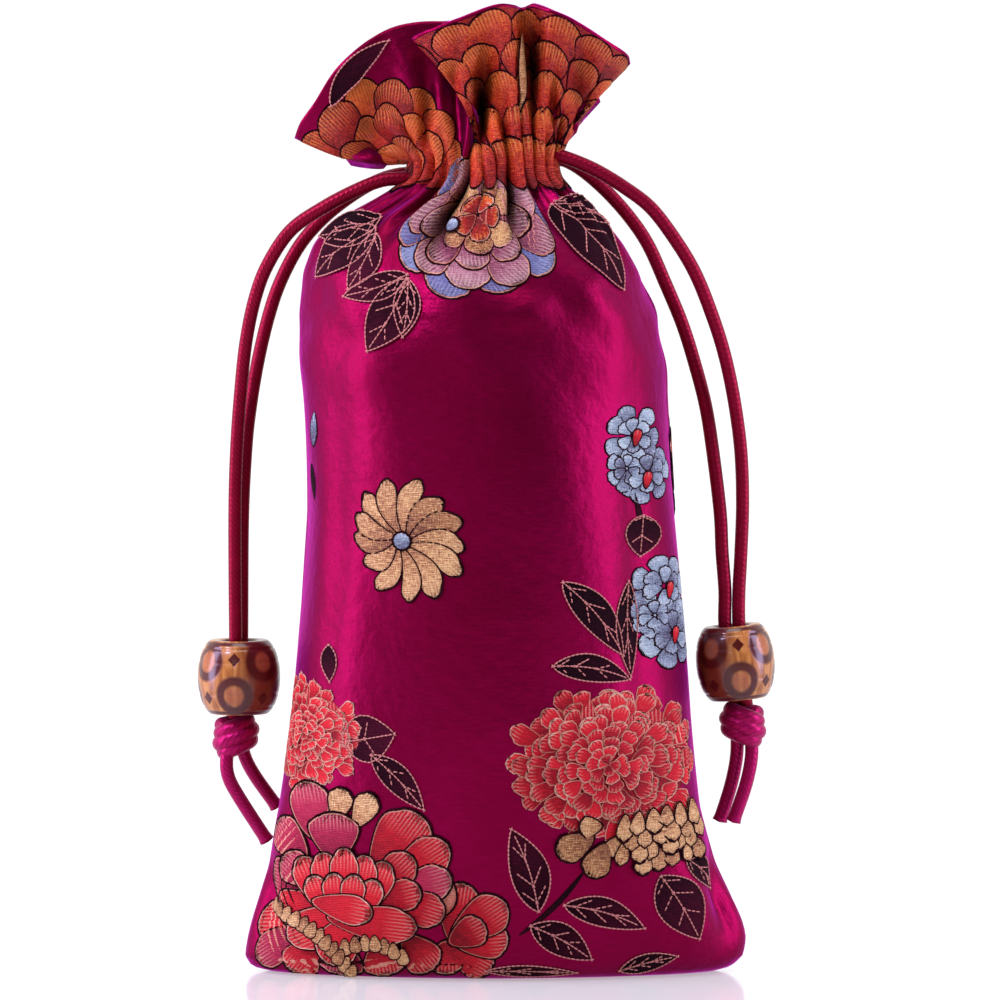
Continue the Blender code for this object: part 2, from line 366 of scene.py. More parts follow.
def make_knot(side, look):
    low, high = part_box(side + "_knot")
    across = (low[0] + high[0]) / 2
    tops = [route[-1] for route in CORD_ROUTE[side]]
    middle = (
        (tops[0][0] + tops[1][0]) / 2,
        (tops[0][1] + tops[1][1]) / 2,
        high[2] / MM - 3.9,
    )
    mirror = 1 if across < 0 else -1
    tubes = [
        tube_parts(smooth_route(wrap_route(middle, KNOT_TILT[side], lane, mirror), 0.6), CORD_R * 1.3)
        for lane in (-1, 0, 1)
    ]
    for tail in TAILS[side]:
        tubes.append(tube_parts(smooth_route(tail, 0.7), CORD_R, flare=0.16))
    return tubes_piece(side + "_knot_tied", tubes, look)


def make_cords(look, knot_look):
    """Both runs of each drawstring, from the casing down through the bead into the knot."""
    knots = {}
    for side, runs in CORD_ROUTE.items():
        knot = make_knot(side, knot_look)
        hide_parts(side + "_knot")
        knots[side] = knot
        for name, run in zip(("front", "back"), runs):
            route = smooth_route(run, 1.1)
            cord = tubes_piece(f"{side}_cord_{name}", [tube_parts(route, CORD_R, sides=18)], look)
            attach(cord, "pouch")
            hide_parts(side + "_drawstring")
        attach(knot, "pouch")


BEAD_UP = {"left": (0.0, 0.0, 1.0), "right": (-0.09, 0.0, 1.0)}
BEAD_R = {"left": 8.3, "right": 7.9}
BEAD_HALF = 7.4
BEAD_BORE = 3.4


def bead_profile(wide):
    """(radius, height) from the top of the bore, over the outside and back, with fine turned grooves."""
    outline = [(BEAD_BORE, 6.6), (BEAD_BORE + 0.15, 7.1), (BEAD_BORE + 0.6, 7.38)]
    for i in range(61):
        angle = math.radians(66 - 132 * i / 60)
        z = BEAD_HALF * math.sin(angle) / math.sin(math.radians(66))
        radius = wide * (0.36 + 0.64 * math.cos(angle) ** 0.72)
        for ring in (5.9, 3.2, -3.2, -5.9):
            radius -= 0.16 * math.exp(-(((z - ring) / 0.16) ** 2))
        outline.append((radius, z))
    outline += [(BEAD_BORE + 0.6, -7.38), (BEAD_BORE + 0.15, -7.1), (BEAD_BORE, -6.6), (BEAD_BORE, 0.0)]
    return outline


def make_bead(side, look, turns=96):
    outline = bead_profile(BEAD_R[side])
    lengths = np.r_[0, np.cumsum(np.linalg.norm(np.diff(np.array(outline), axis=0), axis=1))]
    up = Vector(BEAD_UP[side]).normalized()
    place = up.to_track_quat("Z", "Y").to_matrix()
    centre = middle_of(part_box(side + "_bead")) / MM
    points, uv, lift, ways = [], [], [], []
    for k in range(turns):
        turn = 2 * math.pi * k / turns
        way = place @ Vector((math.cos(turn), math.sin(turn), 0.0))
        ways += [(way.x if side == "left" else -way.x, way.y)] * len(outline)
        for (radius, z), far in zip(outline, lengths):
            points.append(centre + place @ Vector((radius * math.cos(turn), radius * math.sin(turn), z)))
            uv.append((k / turns, far))
            lift.append(z / BEAD_HALF)
    count = len(outline)
    faces = []
    for k in range(turns):
        this, after = k * count, ((k + 1) % turns) * count
        for i in range(count):
            j = (i + 1) % count
            faces.append((this + i, this + j, after + j, after + i))
    values = {"height": lift, "turn_x": [x for x, _ in ways], "turn_y": [y for _, y in ways]}
    bead = mesh_piece(side + "_bead_turned", points, faces, look, uv, values)
    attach(bead, side + "_bead")
    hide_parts(side + "_bead")


# ---------------------------------------------------------------- the bag's surface

# The filled body, from the base up: height, left edge, right edge, half depth, squareness (2 is an ellipse).
BODY_SECTIONS = np.array([
    (0.0, -46.0, 44.5, 14.0, 1.75),
    (0.8, -49.2, 47.4, 16.0, 1.75),
    (3.0, -50.5, 49.8, 17.8, 1.75),
    (6.8, -49.8, 50.5, 19.6, 1.8),
    (10.0, -48.9, 49.8, 20.8, 1.85),
    (14.0, -47.5, 48.2, 22.2, 1.9),
    (21.4, -45.1, 44.9, 24.6, 1.95),
    (33.2, -42.9, 41.6, 27.4, 2.0),
    (50.4, -40.5, 39.4, 29.6, 2.05),
    (73.6, -38.9, 36.9, 30.6, 2.05),
    (91.8, -38.3, 35.6, 30.2, 2.05),
    (112.8, -38.9, 34.1, 29.0, 2.0),
    (131.8, -39.4, 31.5, 26.6, 2.0),
    (140.0, -38.4, 29.0, 24.4, 2.0),
    (146.0, -35.6, 25.6, 20.8, 2.0),
    (150.6, -30.8, 21.8, 16.6, 2.0),
    (154.6, -23.2, 17.4, 12.2, 2.0),
    (158.4, -17.0, 12.6, 9.0, 2.0),
    (162.0, -16.4, 11.9, 8.4, 2.0),
])
NECK_H = 162.0
FRILL = 34.0
TOP_H = NECK_H + FRILL
# The frill's edge: along the front from the left tip to the right, then along the back.
RIM_FRONT = [
    (-40.2, -0.5, 166.6), (-38.9, -3.0, 169.8), (-36.1, -5.4, 173.6), (-32.1, -6.8, 179.8),
    (-26.9, -6.4, 184.8), (-21.5, -5.2, 188.2), (-16.1, -4.2, 189.6), (-10.6, -3.6, 189.8),
    (-10.2, -5.6, 189.2), (-14.0, -7.6, 187.6), (-16.8, -9.4, 186.2), (-14.2, -11.0, 187.6),
    (-9.3, -11.8, 189.4), (-4.5, -11.6, 191.2), (0.3, -10.6, 193.0), (3.6, -8.4, 192.9),
    (5.2, -5.8, 192.4), (7.0, -8.8, 193.0), (10.1, -10.6, 192.1), (14.0, -10.2, 190.6),
    (17.3, -9.0, 188.8), (23.5, -5.6, 185.0), (26.2, -2.4, 183.2), (26.8, 0.4, 181.4),
]
RIM_BACK = [
    (26.8, 0.4, 181.4), (24.6, 4.8, 183.2), (19.4, 8.6, 185.6), (13.4, 8.2, 187.4), (9.4, 5.8, 187.8),
    (5.8, 9.6, 188.4), (0.4, 11.6, 188.4), (-4.6, 9.2, 188.0), (-7.6, 6.4, 187.6), (-11.4, 9.6, 187.4),
    (-17.0, 11.2, 186.4), (-22.8, 9.0, 184.8), (-26.4, 6.0, 182.6), (-30.6, 8.0, 179.0), (-35.6, 6.0, 173.6),
    (-39.0, 2.8, 168.8), (-40.2, -0.5, 166.6),
]


# Soft swellings under the gathers: turn, height, rise, reach across, reach up.
PUCKERS = (
    (0.236, 135.5, 1.7, 0.034, 5.0), (0.362, 136.5, 1.6, 0.030, 5.5), (0.130, 138.0, 1.3, 0.030, 6.0),
    (0.300, 134.0, 0.9, 0.022, 4.5), (0.640, 136.0, 1.5, 0.034, 6.0), (0.760, 137.0, 1.5, 0.034, 6.0),
    (0.880, 137.0, 1.2, 0.030, 6.0),
)
# Deep folds of the frill: where across, depth, width, how far up the frill they are deepest, reach.
FRILL_FOLDS = {
    "front": (
        (-2.8, 12.0, 1.9, 0.36, 0.26), (7.4, 9.5, 1.5, 0.60, 0.30), (-13.8, 3.4, 1.6, 0.34, 0.24),
        (-24.5, 2.4, 3.0, 0.55, 0.30), (16.5, 3.2, 2.2, 0.50, 0.30), (-8.2, 2.4, 1.2, 0.55, 0.28),
        (2.2, 1.8, 1.1, 0.30, 0.20), (11.6, 2.6, 1.3, 0.30, 0.22),
    ),
    "back": (
        (-5.4, 2.4, 2.2, 0.50, 0.30), (10.4, 2.6, 1.8, 0.50, 0.30), (-15.0, 4.5, 2.0, 0.50, 0.30),
        (-25.0, 2.6, 2.6, 0.50, 0.30), (16.5, 2.8, 2.2, 0.50, 0.30),
    ),
}
# Long soft folds of the body: turn, height, depth, reach across, reach up, slant.
BODY_FOLDS = (
    (0.455, 15.0, 2.6, 0.022, 8.0, 0.0022), (0.425, 26.0, 1.3, 0.018, 12.0, -0.0016),
    (0.048, 14.0, 2.2, 0.022, 8.0, -0.0022), (0.548, 15.0, 2.4, 0.022, 8.0, 0.0022),
    (0.952, 14.0, 2.4, 0.022, 9.0, 0.0022), (0.39, 70.0, 0.8, 0.020, 40.0, 0.0003),
    (0.10, 84.0, 0.7, 0.020, 34.0, 0.0002), (0.62, 80.0, 0.8, 0.022, 38.0, -0.0003),
    (0.87, 62.0, 0.8, 0.022, 34.0, 0.0004), (0.30, 52.0, 0.4, 0.03, 22.0, 0.001),
)
# Hollows where the casing pinches the cloth in: turn, height, depth, reach across, reach up.
PINCHES = (
    (0.211, 151.0, 9.0, 0.0125, 7.0), (0.303, 153.0, 8.5, 0.0115, 6.0), (0.157, 153.0, 3.0, 0.010, 5.0),
    (0.256, 154.0, 2.2, 0.009, 5.0), (0.352, 153.0, 3.4, 0.010, 5.0), (0.105, 152.0, 2.6, 0.010, 5.0),
    (0.405, 152.0, 2.6, 0.010, 5.0), (0.585, 152.0, 4.0, 0.012, 6.0), (0.680, 153.0, 5.0, 0.012, 6.0),
    (0.775, 152.0, 5.5, 0.013, 6.5), (0.868, 152.0, 4.0, 0.012, 6.0),
)


def smoothstep(value):
    value = np.clip(value, 0.0, 1.0)
    return value * value * (3 - 2 * value)


def hump(apart, reach):
    """1 in the middle, falling away softly to both sides."""
    return np.exp(-((apart / reach) ** 2))


class Brocade:
    """Where the cloth lies: turn runs 0 to 1 from the left seam over the front and then the back."""

    def __init__(self):
        self.levels = np.arange(0.0, NECK_H + 0.1, 0.25)
        kernel = np.hanning(19)
        kernel /= kernel.sum()
        columns = []
        for k in range(1, 5):
            raw = np.interp(self.levels, BODY_SECTIONS[:, 0], BODY_SECTIONS[:, k])
            eased = np.convolve(np.pad(raw, 9, "edge"), kernel, "valid")
            near_base = np.clip(self.levels / 6.0, 0, 1)
            columns.append(raw * (1 - near_base) + eased * near_base)
        self.columns = columns
        self.rim = [self.rim_table(RIM_FRONT), self.rim_table(RIM_BACK)]
        self.pleats = self.lay_pleats()

    @staticmethod
    def rim_table(points):
        route = smooth_route(points, 0.4)
        return np.linspace(0, 1, len(route)), route

    @staticmethod
    def lay_pleats():
        """(turn, foot height, depth, width, drift) of each valley under the casing."""
        dice = random.Random(SEED)
        front = [
            (0.045, 132, 1.9, 0.011), (0.085, 137, 1.5, 0.010), (0.122, 129, 2.2, 0.012),
            (0.158, 140, 1.6, 0.010), (0.186, 133, 2.4, 0.012), (0.217, 138, 3.0, 0.016),
            (0.247, 136, 1.7, 0.010), (0.276, 130, 2.2, 0.011), (0.309, 141, 2.8, 0.014),
            (0.342, 137, 1.8, 0.010), (0.372, 131, 2.3, 0.012), (0.405, 139, 1.6, 0.010),
            (0.440, 132, 2.1, 0.012), (0.472, 138, 1.6, 0.011),
        ]
        valleys = [
            (turn, foot, depth, width, dice.uniform(-0.012, 0.012))
            for turn, foot, depth, width in front
        ]
        for i in range(15):
            turn = 0.508 + 0.0325 * i + dice.uniform(-0.006, 0.006)
            foot = dice.uniform(127, 143)
            valleys.append(
                (turn, foot, dice.uniform(1.5, 3.0), dice.uniform(0.010, 0.014), dice.uniform(-0.012, 0.012))
            )
        return valleys

    def section(self, height):
        return [np.interp(height, self.levels, column) for column in self.columns]

    def relief(self, turn, height):
        """How far the cloth stands out of the plain section, in millimetres."""
        out = np.zeros(np.broadcast(turn, height).shape)
        for at, foot, depth, width, drift in self.pleats:
            fade = smoothstep((height - foot) / (157.0 - foot))
            shift = drift * (1 - fade)
            apart = (turn - at - shift + 0.5) % 1.0 - 0.5
            wide = width * (1.0 + 0.9 * (1 - fade))
            out -= depth * fade**0.8 * hump(apart, wide)
            puff = hump(height - foot + 2.5, 4.5)
            out -= 0.55 * puff * hump(apart, wide * 1.2)
            out += 0.5 * hump(height - foot + 9, 5.0) * hump(apart, wide * 1.8)
        for at, level, rise, across, tall in PUCKERS:
            out += rise * hump(turn - at, across) * hump(height - level, tall)
        for at, level, depth, across, tall in PINCHES:
            out -= depth * hump(turn - at, across) * hump(height - level, tall)
        high = smoothstep((height - 136) / 14)
        out += high * 0.9
        wave = 2 * math.pi * turn
        body = smoothstep(height / 25) * (1 - smoothstep((height - 132) / 16))
        out += body * (
            0.45 * np.sin(3 * wave + 0.030 * height + 0.6) + 0.30 * np.sin(5 * wave - 0.045 * height + 2.1)
            + 0.20 * np.sin(8 * wave + 0.07 * height + 4.0) + 0.16 * np.sin(2 * wave + 0.11 * height)
        )
        for at, level, depth, across, tall, slant in BODY_FOLDS:
            apart = turn - at - slant * (height - level)
            out -= depth * hump(apart, across) * hump(height - level, tall)
        for seam in (0.0, 0.5, 1.0):
            out -= 0.45 * hump(turn - seam, 0.004) * smoothstep(height / 4)
        return out * smoothstep(height / 3.0)

    def body_place(self, turn, height):
        left, right, deep, square = self.section(height)
        angle = 2 * math.pi * turn
        c, s = np.cos(angle), np.sin(angle)
        half, middle = (right - left) / 2, (right + left) / 2
        x = middle - half * np.sign(c) * np.abs(c) ** (2 / square)
        y = -deep * np.sign(s) * np.abs(s) ** (2 / square)
        nx, ny = -c * deep, -s * half
        size = np.hypot(nx, ny)
        out = self.relief(turn, height)
        return x + out * nx / size, y + out * ny / size, np.maximum(height, 0.02) + 0 * turn

    def frill_place(self, turn, height):
        t = np.clip((height - NECK_H) / FRILL, 0, 1)
        x0, y0, z0 = self.body_place(turn, np.full_like(t, NECK_H))
        turn = turn % 1.0
        front = turn <= 0.5
        share = np.where(front, turn * 2, turn * 2 - 1)
        rim = []
        for k in range(3):
            ahead = np.interp(share, self.rim[0][0], self.rim[0][1][:, k])
            behind = np.interp(share, self.rim[1][0], self.rim[1][1][:, k])
            rim.append(np.where(front, ahead, behind))
        spread = t**1.12
        fold = hump(share - 0.44, 0.09) * front
        x = x0 + (rim[0] - x0) * spread + 3.0 * fold * np.sin(math.pi * t)
        y = y0 + (rim[1] - y0) * spread
        sag = 2.4 * np.sin(math.pi * t) * np.clip((0.16 - np.minimum(share, 1 - share)) / 0.16, 0, 1)
        leftward = (x < -3.3) * 1.0
        z = z0 + (rim[2] - z0) * t**0.94 - sag * leftward
        ripple = (1 - t) ** 0.7 * np.sin(math.pi * np.clip(t * 1.6, 0, 1)) * 0.9
        y = y + np.where(front, -1, 1) * ripple * np.sin(2 * math.pi * 13 * share + 1.3 * np.sin(9 * share))
        broad = np.sin(math.pi * t) * (
            0.8 * np.sin(2 * math.pi * 4.5 * share + 0.4) + 0.4 * np.sin(2 * math.pi * 8 * share)
        )
        y = y + np.where(front, -1, 1) * broad * np.sin(math.pi * share)
        for leaf, inward, folds in ((front, 1, FRILL_FOLDS["front"]), (~front, -1, FRILL_FOLDS["back"])):
            for at, depth, width, deepest, reach in folds:
                hollow = hump(x - at, width * (0.6 + 0.9 * t)) * hump(t - deepest, reach)
                y = y + inward * leaf * depth * hollow * smoothstep(t / 0.12)
        return x, y, z

    def painted_fold_shade(self, turn, height):
        """How deep in a fold the cloth lies, 0 to 1; the looks darken their colour by it, as painted shade in
        the folds and gathers.
        """
        out = np.zeros(len(turn))
        for at, level, depth, across, tall in PINCHES:
            out += depth / 9.0 * hump(turn - at, across) * hump(height - level, tall)
        across, t = self.place(turn, height)[:, 0], (height - NECK_H) / FRILL
        for leaf, folds in (
            (turn % 1.0 <= 0.5, FRILL_FOLDS["front"]), (turn % 1.0 > 0.5, FRILL_FOLDS["back"])
        ):
            for at, depth, width, deepest, reach in folds:
                near = hump(across - at, width * (0.5 + 0.8 * t)) * hump(t - deepest, reach)
                out += leaf * (t > 0) * depth / 11.0 * near
        return np.clip(out, 0, 1)

    def place(self, turn, height):
        """Points of the cloth's outer face, with height running on from the body up the frill."""
        turn, height = np.broadcast_arrays(np.asarray(turn, float), np.asarray(height, float))
        body = self.body_place(turn, np.minimum(height, NECK_H))
        frill = self.frill_place(turn, height)
        above = height > NECK_H
        return np.stack([np.where(above, f, b) for f, b in zip(frill, body)], axis=-1)

    def facing(self, turn, height, step=0.0016):
        """The outward direction of the cloth there."""
        across = self.place(turn + step, height) - self.place(turn - step, height)
        up = self.place(turn, height + 0.35) - self.place(turn, height - 0.35)
        out = np.cross(across, up)
        return out / np.maximum(np.linalg.norm(out, axis=-1, keepdims=True), 1e-9)

    def from_front(self, x, height, back=False):
        """(turn, height) of the body seen straight on at x; past the edge it carries on round the side."""
        left, right, _, square = self.section(np.clip(height, 0, NECK_H))
        half, middle = (right - left) / 2, (right + left) / 2
        q = (x - middle) / half
        edge = 0.86
        inner = np.clip(q, -edge, edge)
        angle = np.arccos(np.clip(-np.sign(inner) * np.abs(inner) ** (square / 2), -1, 1))
        at_edge = np.arccos(-(edge ** (square / 2)))
        slope = (at_edge - np.arccos(-((edge - 0.02) ** (square / 2)))) / 0.02
        angle = angle + slope * (q - inner)
        turn = angle / (2 * math.pi)
        return (1.0 - turn if back else turn), height


CLOTH = Brocade()
AROUND = 300
# The cloth's length round the bag, which sets the size of its weave.
GIRTH = 220.0


def bag_rows():
    """Heights of the grid's rows from the base's edge to the frill's edge, closer together in the gathers."""
    foot, middle = list(np.linspace(0.0, 3.0, 6)), list(np.arange(4.2, 120, 1.35))
    gathers = list(np.arange(120, NECK_H, 0.85))
    return foot + middle + gathers + list(np.arange(NECK_H, TOP_H - 0.2, 0.85)) + [TOP_H]


def make_bag(look):
    turns = np.arange(AROUND) / AROUND
    rows = bag_rows()
    grid, uv, folds = [], [], []
    cloth_x = turns * GIRTH

    def add(points, level):
        grid.append(points)
        uv.extend((x, level) for x in cloth_x)
        folds.append(level)

    base = CLOTH.place(turns, np.zeros(AROUND))
    centre = base.mean(axis=0)
    for share in (0.02, 0.2, 0.4, 0.6, 0.8, 0.93):
        ring = centre + (base - centre) * share
        ring[:, 2] = 0.02
        add(ring, -30 * (1 - share))
    for level in rows:
        add(CLOTH.place(turns, np.full(AROUND, level)), level)
    for sink, inset in ((0.15, 0.75), (0.9, 1.1)):
        ring = CLOTH.place(turns, np.full(AROUND, TOP_H - sink))
        add(
            ring - CLOTH.facing(turns, np.full(AROUND, TOP_H - sink - 0.3)) * inset + (0, 0, 0.1),
            TOP_H + sink
        )
    for level in np.arange(TOP_H - 2.0, NECK_H + 4.0, -1.5):
        ring = CLOTH.place(turns, np.full(AROUND, level))
        inset = 1.1 * np.clip((level - NECK_H) / 10, 0.25, 1)
        add(ring - CLOTH.facing(turns, np.full(AROUND, level)) * inset, 2 * TOP_H - level)
    throat = grid[-1]
    hub = throat.mean(axis=0) - (0, 0, 3.0)
    for share in (0.6, 0.25, 0.02):
        add(hub + (throat - hub) * share, 2 * TOP_H - NECK_H + share)
    count = len(grid)
    faces = []
    for j in range(count - 1):
        low, high = j * AROUND, (j + 1) * AROUND
        for k in range(AROUND):
            after = (k + 1) % AROUND
            faces.append((low + k, low + after, high + after, high + k))
    faces.append(tuple(range(AROUND - 1, -1, -1)))
    faces.append(tuple((count - 1) * AROUND + k for k in range(AROUND)))
    points = np.concatenate(grid)
    levels = np.repeat(folds, AROUND)
    # Painted shade: how deep each point lies in a fold, stored as the value deep, darkens the satin there.
    deep = CLOTH.painted_fold_shade(np.tile(turns, count), np.minimum(levels, 2 * TOP_H - levels))
    return mesh_piece("gathered_bag", points, faces, look, uv, {"deep": deep})


# ---------------------------------------------------------------- woven motifs


class Weft:
    """Collects flat shapes drawn on the cloth, then lays them all on its surface as one piece.

    A shape is a small grid of points, given as seen from the front: x across and height, in millimetres.
    """

    def __init__(self, name, look):
        self.name, self.look = name, look
        self.turns, self.heights, self.lifts, self.uv = [], [], [], []
        self.values = {"edge": [], "tip": [], "lane": [], "tone": []}
        self.faces = []

    def lay(self, cells, spot, lift, tone):
        """cells: rows of (x, z, edge, tip, lane). A spot says how to put them on the cloth."""
        start = len(self.lifts)
        rows, columns = len(cells), len(cells[0])
        flat = np.array(cells).reshape(-1, 5)
        turn, height = spot(flat[:, 0], flat[:, 1])
        self.turns += list(turn)
        self.heights += list(height)
        self.lifts += [lift] * len(flat)
        self.uv += [(x, z) for x, z in flat[:, :2]]
        self.values["edge"] += list(flat[:, 2])
        self.values["tip"] += list(flat[:, 3])
        self.values["lane"] += list(flat[:, 4])
        self.values["tone"] += [tone] * len(flat)
        order = 1 if turned_right(turn, height, columns) else -1
        for j in range(rows - 1):
            for k in range(columns - 1):
                a = start + j * columns + k
                face = (a, a + 1, a + columns + 1, a + columns)
                self.faces.append(face[::order])

    def make(self):
        turn, height = np.array(self.turns), np.array(self.heights)
        points = CLOTH.place(turn, height) + CLOTH.facing(turn, height) * np.array(self.lifts)[:, None]
        points[:, 2] = np.maximum(points[:, 2], 0.05)
        # Painted shade: fold depth under each thread, which darkens its colour in the folds.
        self.values["deep"] = list(CLOTH.painted_fold_shade(turn, height))
        piece = mesh_piece(self.name, points, self.faces, self.look, self.uv, self.values)
        bm = bmesh.new()
        bm.from_mesh(piece.data)
        bmesh.ops.remove_doubles(bm, verts=bm.verts[:], dist=2e-6)
        bmesh.ops.dissolve_degenerate(bm, edges=bm.edges[:], dist=2e-6)
        bm.to_mesh(piece.data)
        bm.free()
        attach(piece, "pouch")
        return piece


def turned_right(turn, height, columns):
    """Whether a grid's first row to its next turns the way that makes its faces look outward."""
    mid = len(turn) // columns // 2 * columns
    a, b, c = mid, mid + columns - 1, min(mid + columns, len(turn) - columns)
    last_row = c <= mid
    if last_row:
        c = mid - columns
    across = (turn[b] - turn[a]) * (height[c] - height[a])
    up = (height[b] - height[a]) * (turn[c] - turn[a])
    return across - up < 0 if last_row else across - up > 0


def body_spot(back=False):
    """Lays shapes on the body: across and up as seen from the front, or from behind."""

    def spot(x, z):
        turn, height = CLOTH.from_front(x, np.maximum(z, 0.0), back)
        return turn, height

    return spot


# How wide the cloth is round the bag before it is gathered.
FLAT = 200.0


def flat_spot(u, v):
    """Lays shapes on the cloth as it was before it was gathered: across from the left seam, and up."""
    return u / FLAT, np.minimum(v, TOP_H - 0.6)


def near_spot(turn, height, lean=0.0):
    """Lays shapes round one place on the cloth, true to size there, wherever it faces."""
    step = 0.004
    across = CLOTH.place(turn + step, height) - CLOTH.place(turn - step, height)
    up = CLOTH.place(turn, height + 1.0) - CLOTH.place(turn, height - 1.0)
    wide = max(np.linalg.norm(across) / (2 * step), 60.0)
    tall = max(np.linalg.norm(up) / 2.0, 0.5)

    def spot(x, z):
        c, s = math.cos(lean), math.sin(lean)
        return turn + (x * c - z * s) / wide, height + (x * s + z * c) / tall

    return spot


def petal(base, tip, width, kind="petal", bend=0.0, grow=0.0, scallop=0.0, fine=1.0):
    """Rows of cells from base to tip. kind is petal (broad tip), leaf (pointed) or round."""
    a, b = np.array(base, float), np.array(tip, float)
    way = b - a
    length = float(np.linalg.norm(way))
    way /= length
    a, b = a - way * grow, b + way * grow
    length += 2 * grow
    side = np.array((-way[1], way[0]))
    rows = max(6, int(length / 0.9 / fine))
    columns = max(6, int((width + 2 * grow) / 0.75 / fine) // 2 * 2 + 2)
    cells = []
    for i in range(rows + 1):
        s = 0.5 - 0.5 * math.cos(math.pi * i / rows)
        if kind == "leaf":
            wide = math.sin(math.pi * s**0.85) ** 0.85
        elif kind == "round":
            wide = math.sqrt(max(0.0, 1 - (2 * s - 1) ** 2))
        else:
            wide = s**0.55 * math.sqrt(max(0.0, 1 - s**5)) * 1.08
        row = []
        for k in range(columns + 1):
            c = 2 * k / columns - 1
            notch = 1 - scallop * s * s * (0.5 + 0.5 * math.cos(2 * math.pi * 2.5 * c + math.pi))
            lane = c * wide * (width / 2 + grow)
            spot = a + (b - a) * s * notch + side * (lane + bend * math.sin(math.pi * s))
            rim = max(abs(c), abs(2 * s - 1) if kind != "petal" else s)
            row.append((spot[0], spot[1], rim, s, lane))
        cells.append(row)
    return cells


# How far a colour stands over its outline, how far each level stands over the last, and the cells' size.
PLAIN_WEAVE = (0.02, 0.03, 1.0)
GATHERED_WEAVE = (0.05, 0.07, 0.62)


class Loom:
    """The pieces of woven thread, by colour."""

    def __init__(self, looks):
        self.gap, self.step, self.fine = PLAIN_WEAVE
        self.wefts = {name: Weft("woven_" + name, look) for name, look in looks.items()}
        self.dice = random.Random(SEED)
        self.threads = []

    def shape(
        self, colour, spot, base, tip, width, kind="petal", bend=0.0, level=0, outline=0.5, tone=None,
        edging=None, scallop=0.0
    ):
        """One filled shape with its dark outline under it, and an edging of paler thread if asked."""
        lift = 0.08 + self.step * level
        if outline:
            cells = petal(
                base, tip, width, kind, bend, outline + (0.28 if edging else 0.0), scallop, self.fine
            )
            self.wefts["outline"].lay(cells, spot, lift, 0.5)
        tone = self.dice.random() if tone is None else tone
        if edging:
            self.wefts[edging].lay(
                petal(base, tip, width, kind, bend, 0.28, scallop, self.fine), spot,
                lift + self.gap / 2, tone
            )
        self.wefts[colour].lay(
            petal(base, tip, width, kind, bend, 0.0, scallop, self.fine), spot, lift + self.gap, tone
        )

    def thread(self, spot, points, lift=0.3):
        """A dashed thread drawn along points on the cloth."""
        self.threads.append((spot, points, lift))

    def leaf(self, spot, base, tip, width, bend=0.0, level=0, veins=3):
        """A dark leaf edged with a fine pale thread, with a midrib and a few side veins."""
        self.shape("leaf", spot, base, tip, width, "leaf", bend, level, 0.0)
        cells = petal(base, tip, width, "leaf", bend, fine=self.fine)
        lift = 0.17 + self.step * level
        self.thread(spot, [row[0][:2] for row in cells], lift)
        self.thread(spot, [row[-1][:2] for row in cells], lift)
        if not veins:
            return
        middle = len(cells[0]) // 2
        rows = len(cells)
        self.thread(spot, [row[middle][:2] for row in cells[1 : int(rows * 0.84)]], lift)
        for i in range(veins):
            at = int((0.22 + 0.5 * i / veins) * rows)
            ahead = min(rows - 2, at + max(1, int(rows * 0.16)))
            for edge in (1, -2):
                start, end = np.array(cells[at][middle][:2]), np.array(cells[ahead][edge][:2])
                end = start + (end - start) * 0.72
                if np.linalg.norm(end - start) > 0.9:
                    self.thread(spot, [tuple(start), tuple((start + end) / 2), tuple(end)], lift)

    def leaves(self, spot, rows, level=0):
        """Several leaves: base, tip, width and bend of each."""
        for base, tip, width, bend in rows:
            self.leaf(spot, base, tip, width, bend, level)

    def flower(
        self, spot, centre, rings, squash=1.0, phase=0.0, outline=0.4, edging=None, scallop=0.0, first=0
    ):
        """Rings of petals, outermost first: (colour, inner and outer radius, petals, petal width, jitter)."""
        for level, (colour, inner, outer, count, width, jitter) in enumerate(rings):
            for i in range(count):
                sway = self.dice.uniform(-1, 1) * jitter * 0.3
                turn = 2 * math.pi * (i + 0.5 * (level % 2)) / count + phase + sway
                reach = outer * (1 + self.dice.uniform(-1, 1) * jitter * 0.25)
                c, s = math.cos(turn), math.sin(turn) * squash
                base = (centre[0] + inner * c, centre[1] + inner * s)
                tip = (centre[0] + reach * c, centre[1] + reach * s)
                bend = self.dice.uniform(-1, 1) * jitter * 1.6
                above = first + 1.5 * level + 0.75 * (i % 2)
                self.shape(
                    colour, spot, base, tip, width, "petal", bend, above, outline, None, edging, scallop
                )

    def field(self, colour, spot, left, right, low, high, tone):
        """A plain stretch of one colour of thread."""
        rows, columns = int((high - low) / 0.8), int((right - left) / 0.8)
        cells = []
        for j in range(rows + 1):
            v = low + (high - low) * j / rows
            cells.append(
                [(left + (right - left) * k / columns, v, 0.0, 0.3, 0.0) for k in range(columns + 1)]
            )
        self.wefts[colour].lay(cells, spot, 0.07, tone)

    def leaf_petal(self, spot, base, tip, width):
        """A pale petal shaped like a leaf."""
        self.shape("peach", spot, base, tip, width, "leaf", 0.0, 4, 0.45, 0.3)

    def eye(self, spot, centre, radius, colour="pale_blue", level=5):
        base, tip = (centre[0], centre[1] - radius), (centre[0], centre[1] + radius)
        self.shape(colour, spot, base, tip, 2 * radius, "round", level=level, outline=0.45)

    def make(self):
        for weft in self.wefts.values():
            if weft.faces:
                weft.make()


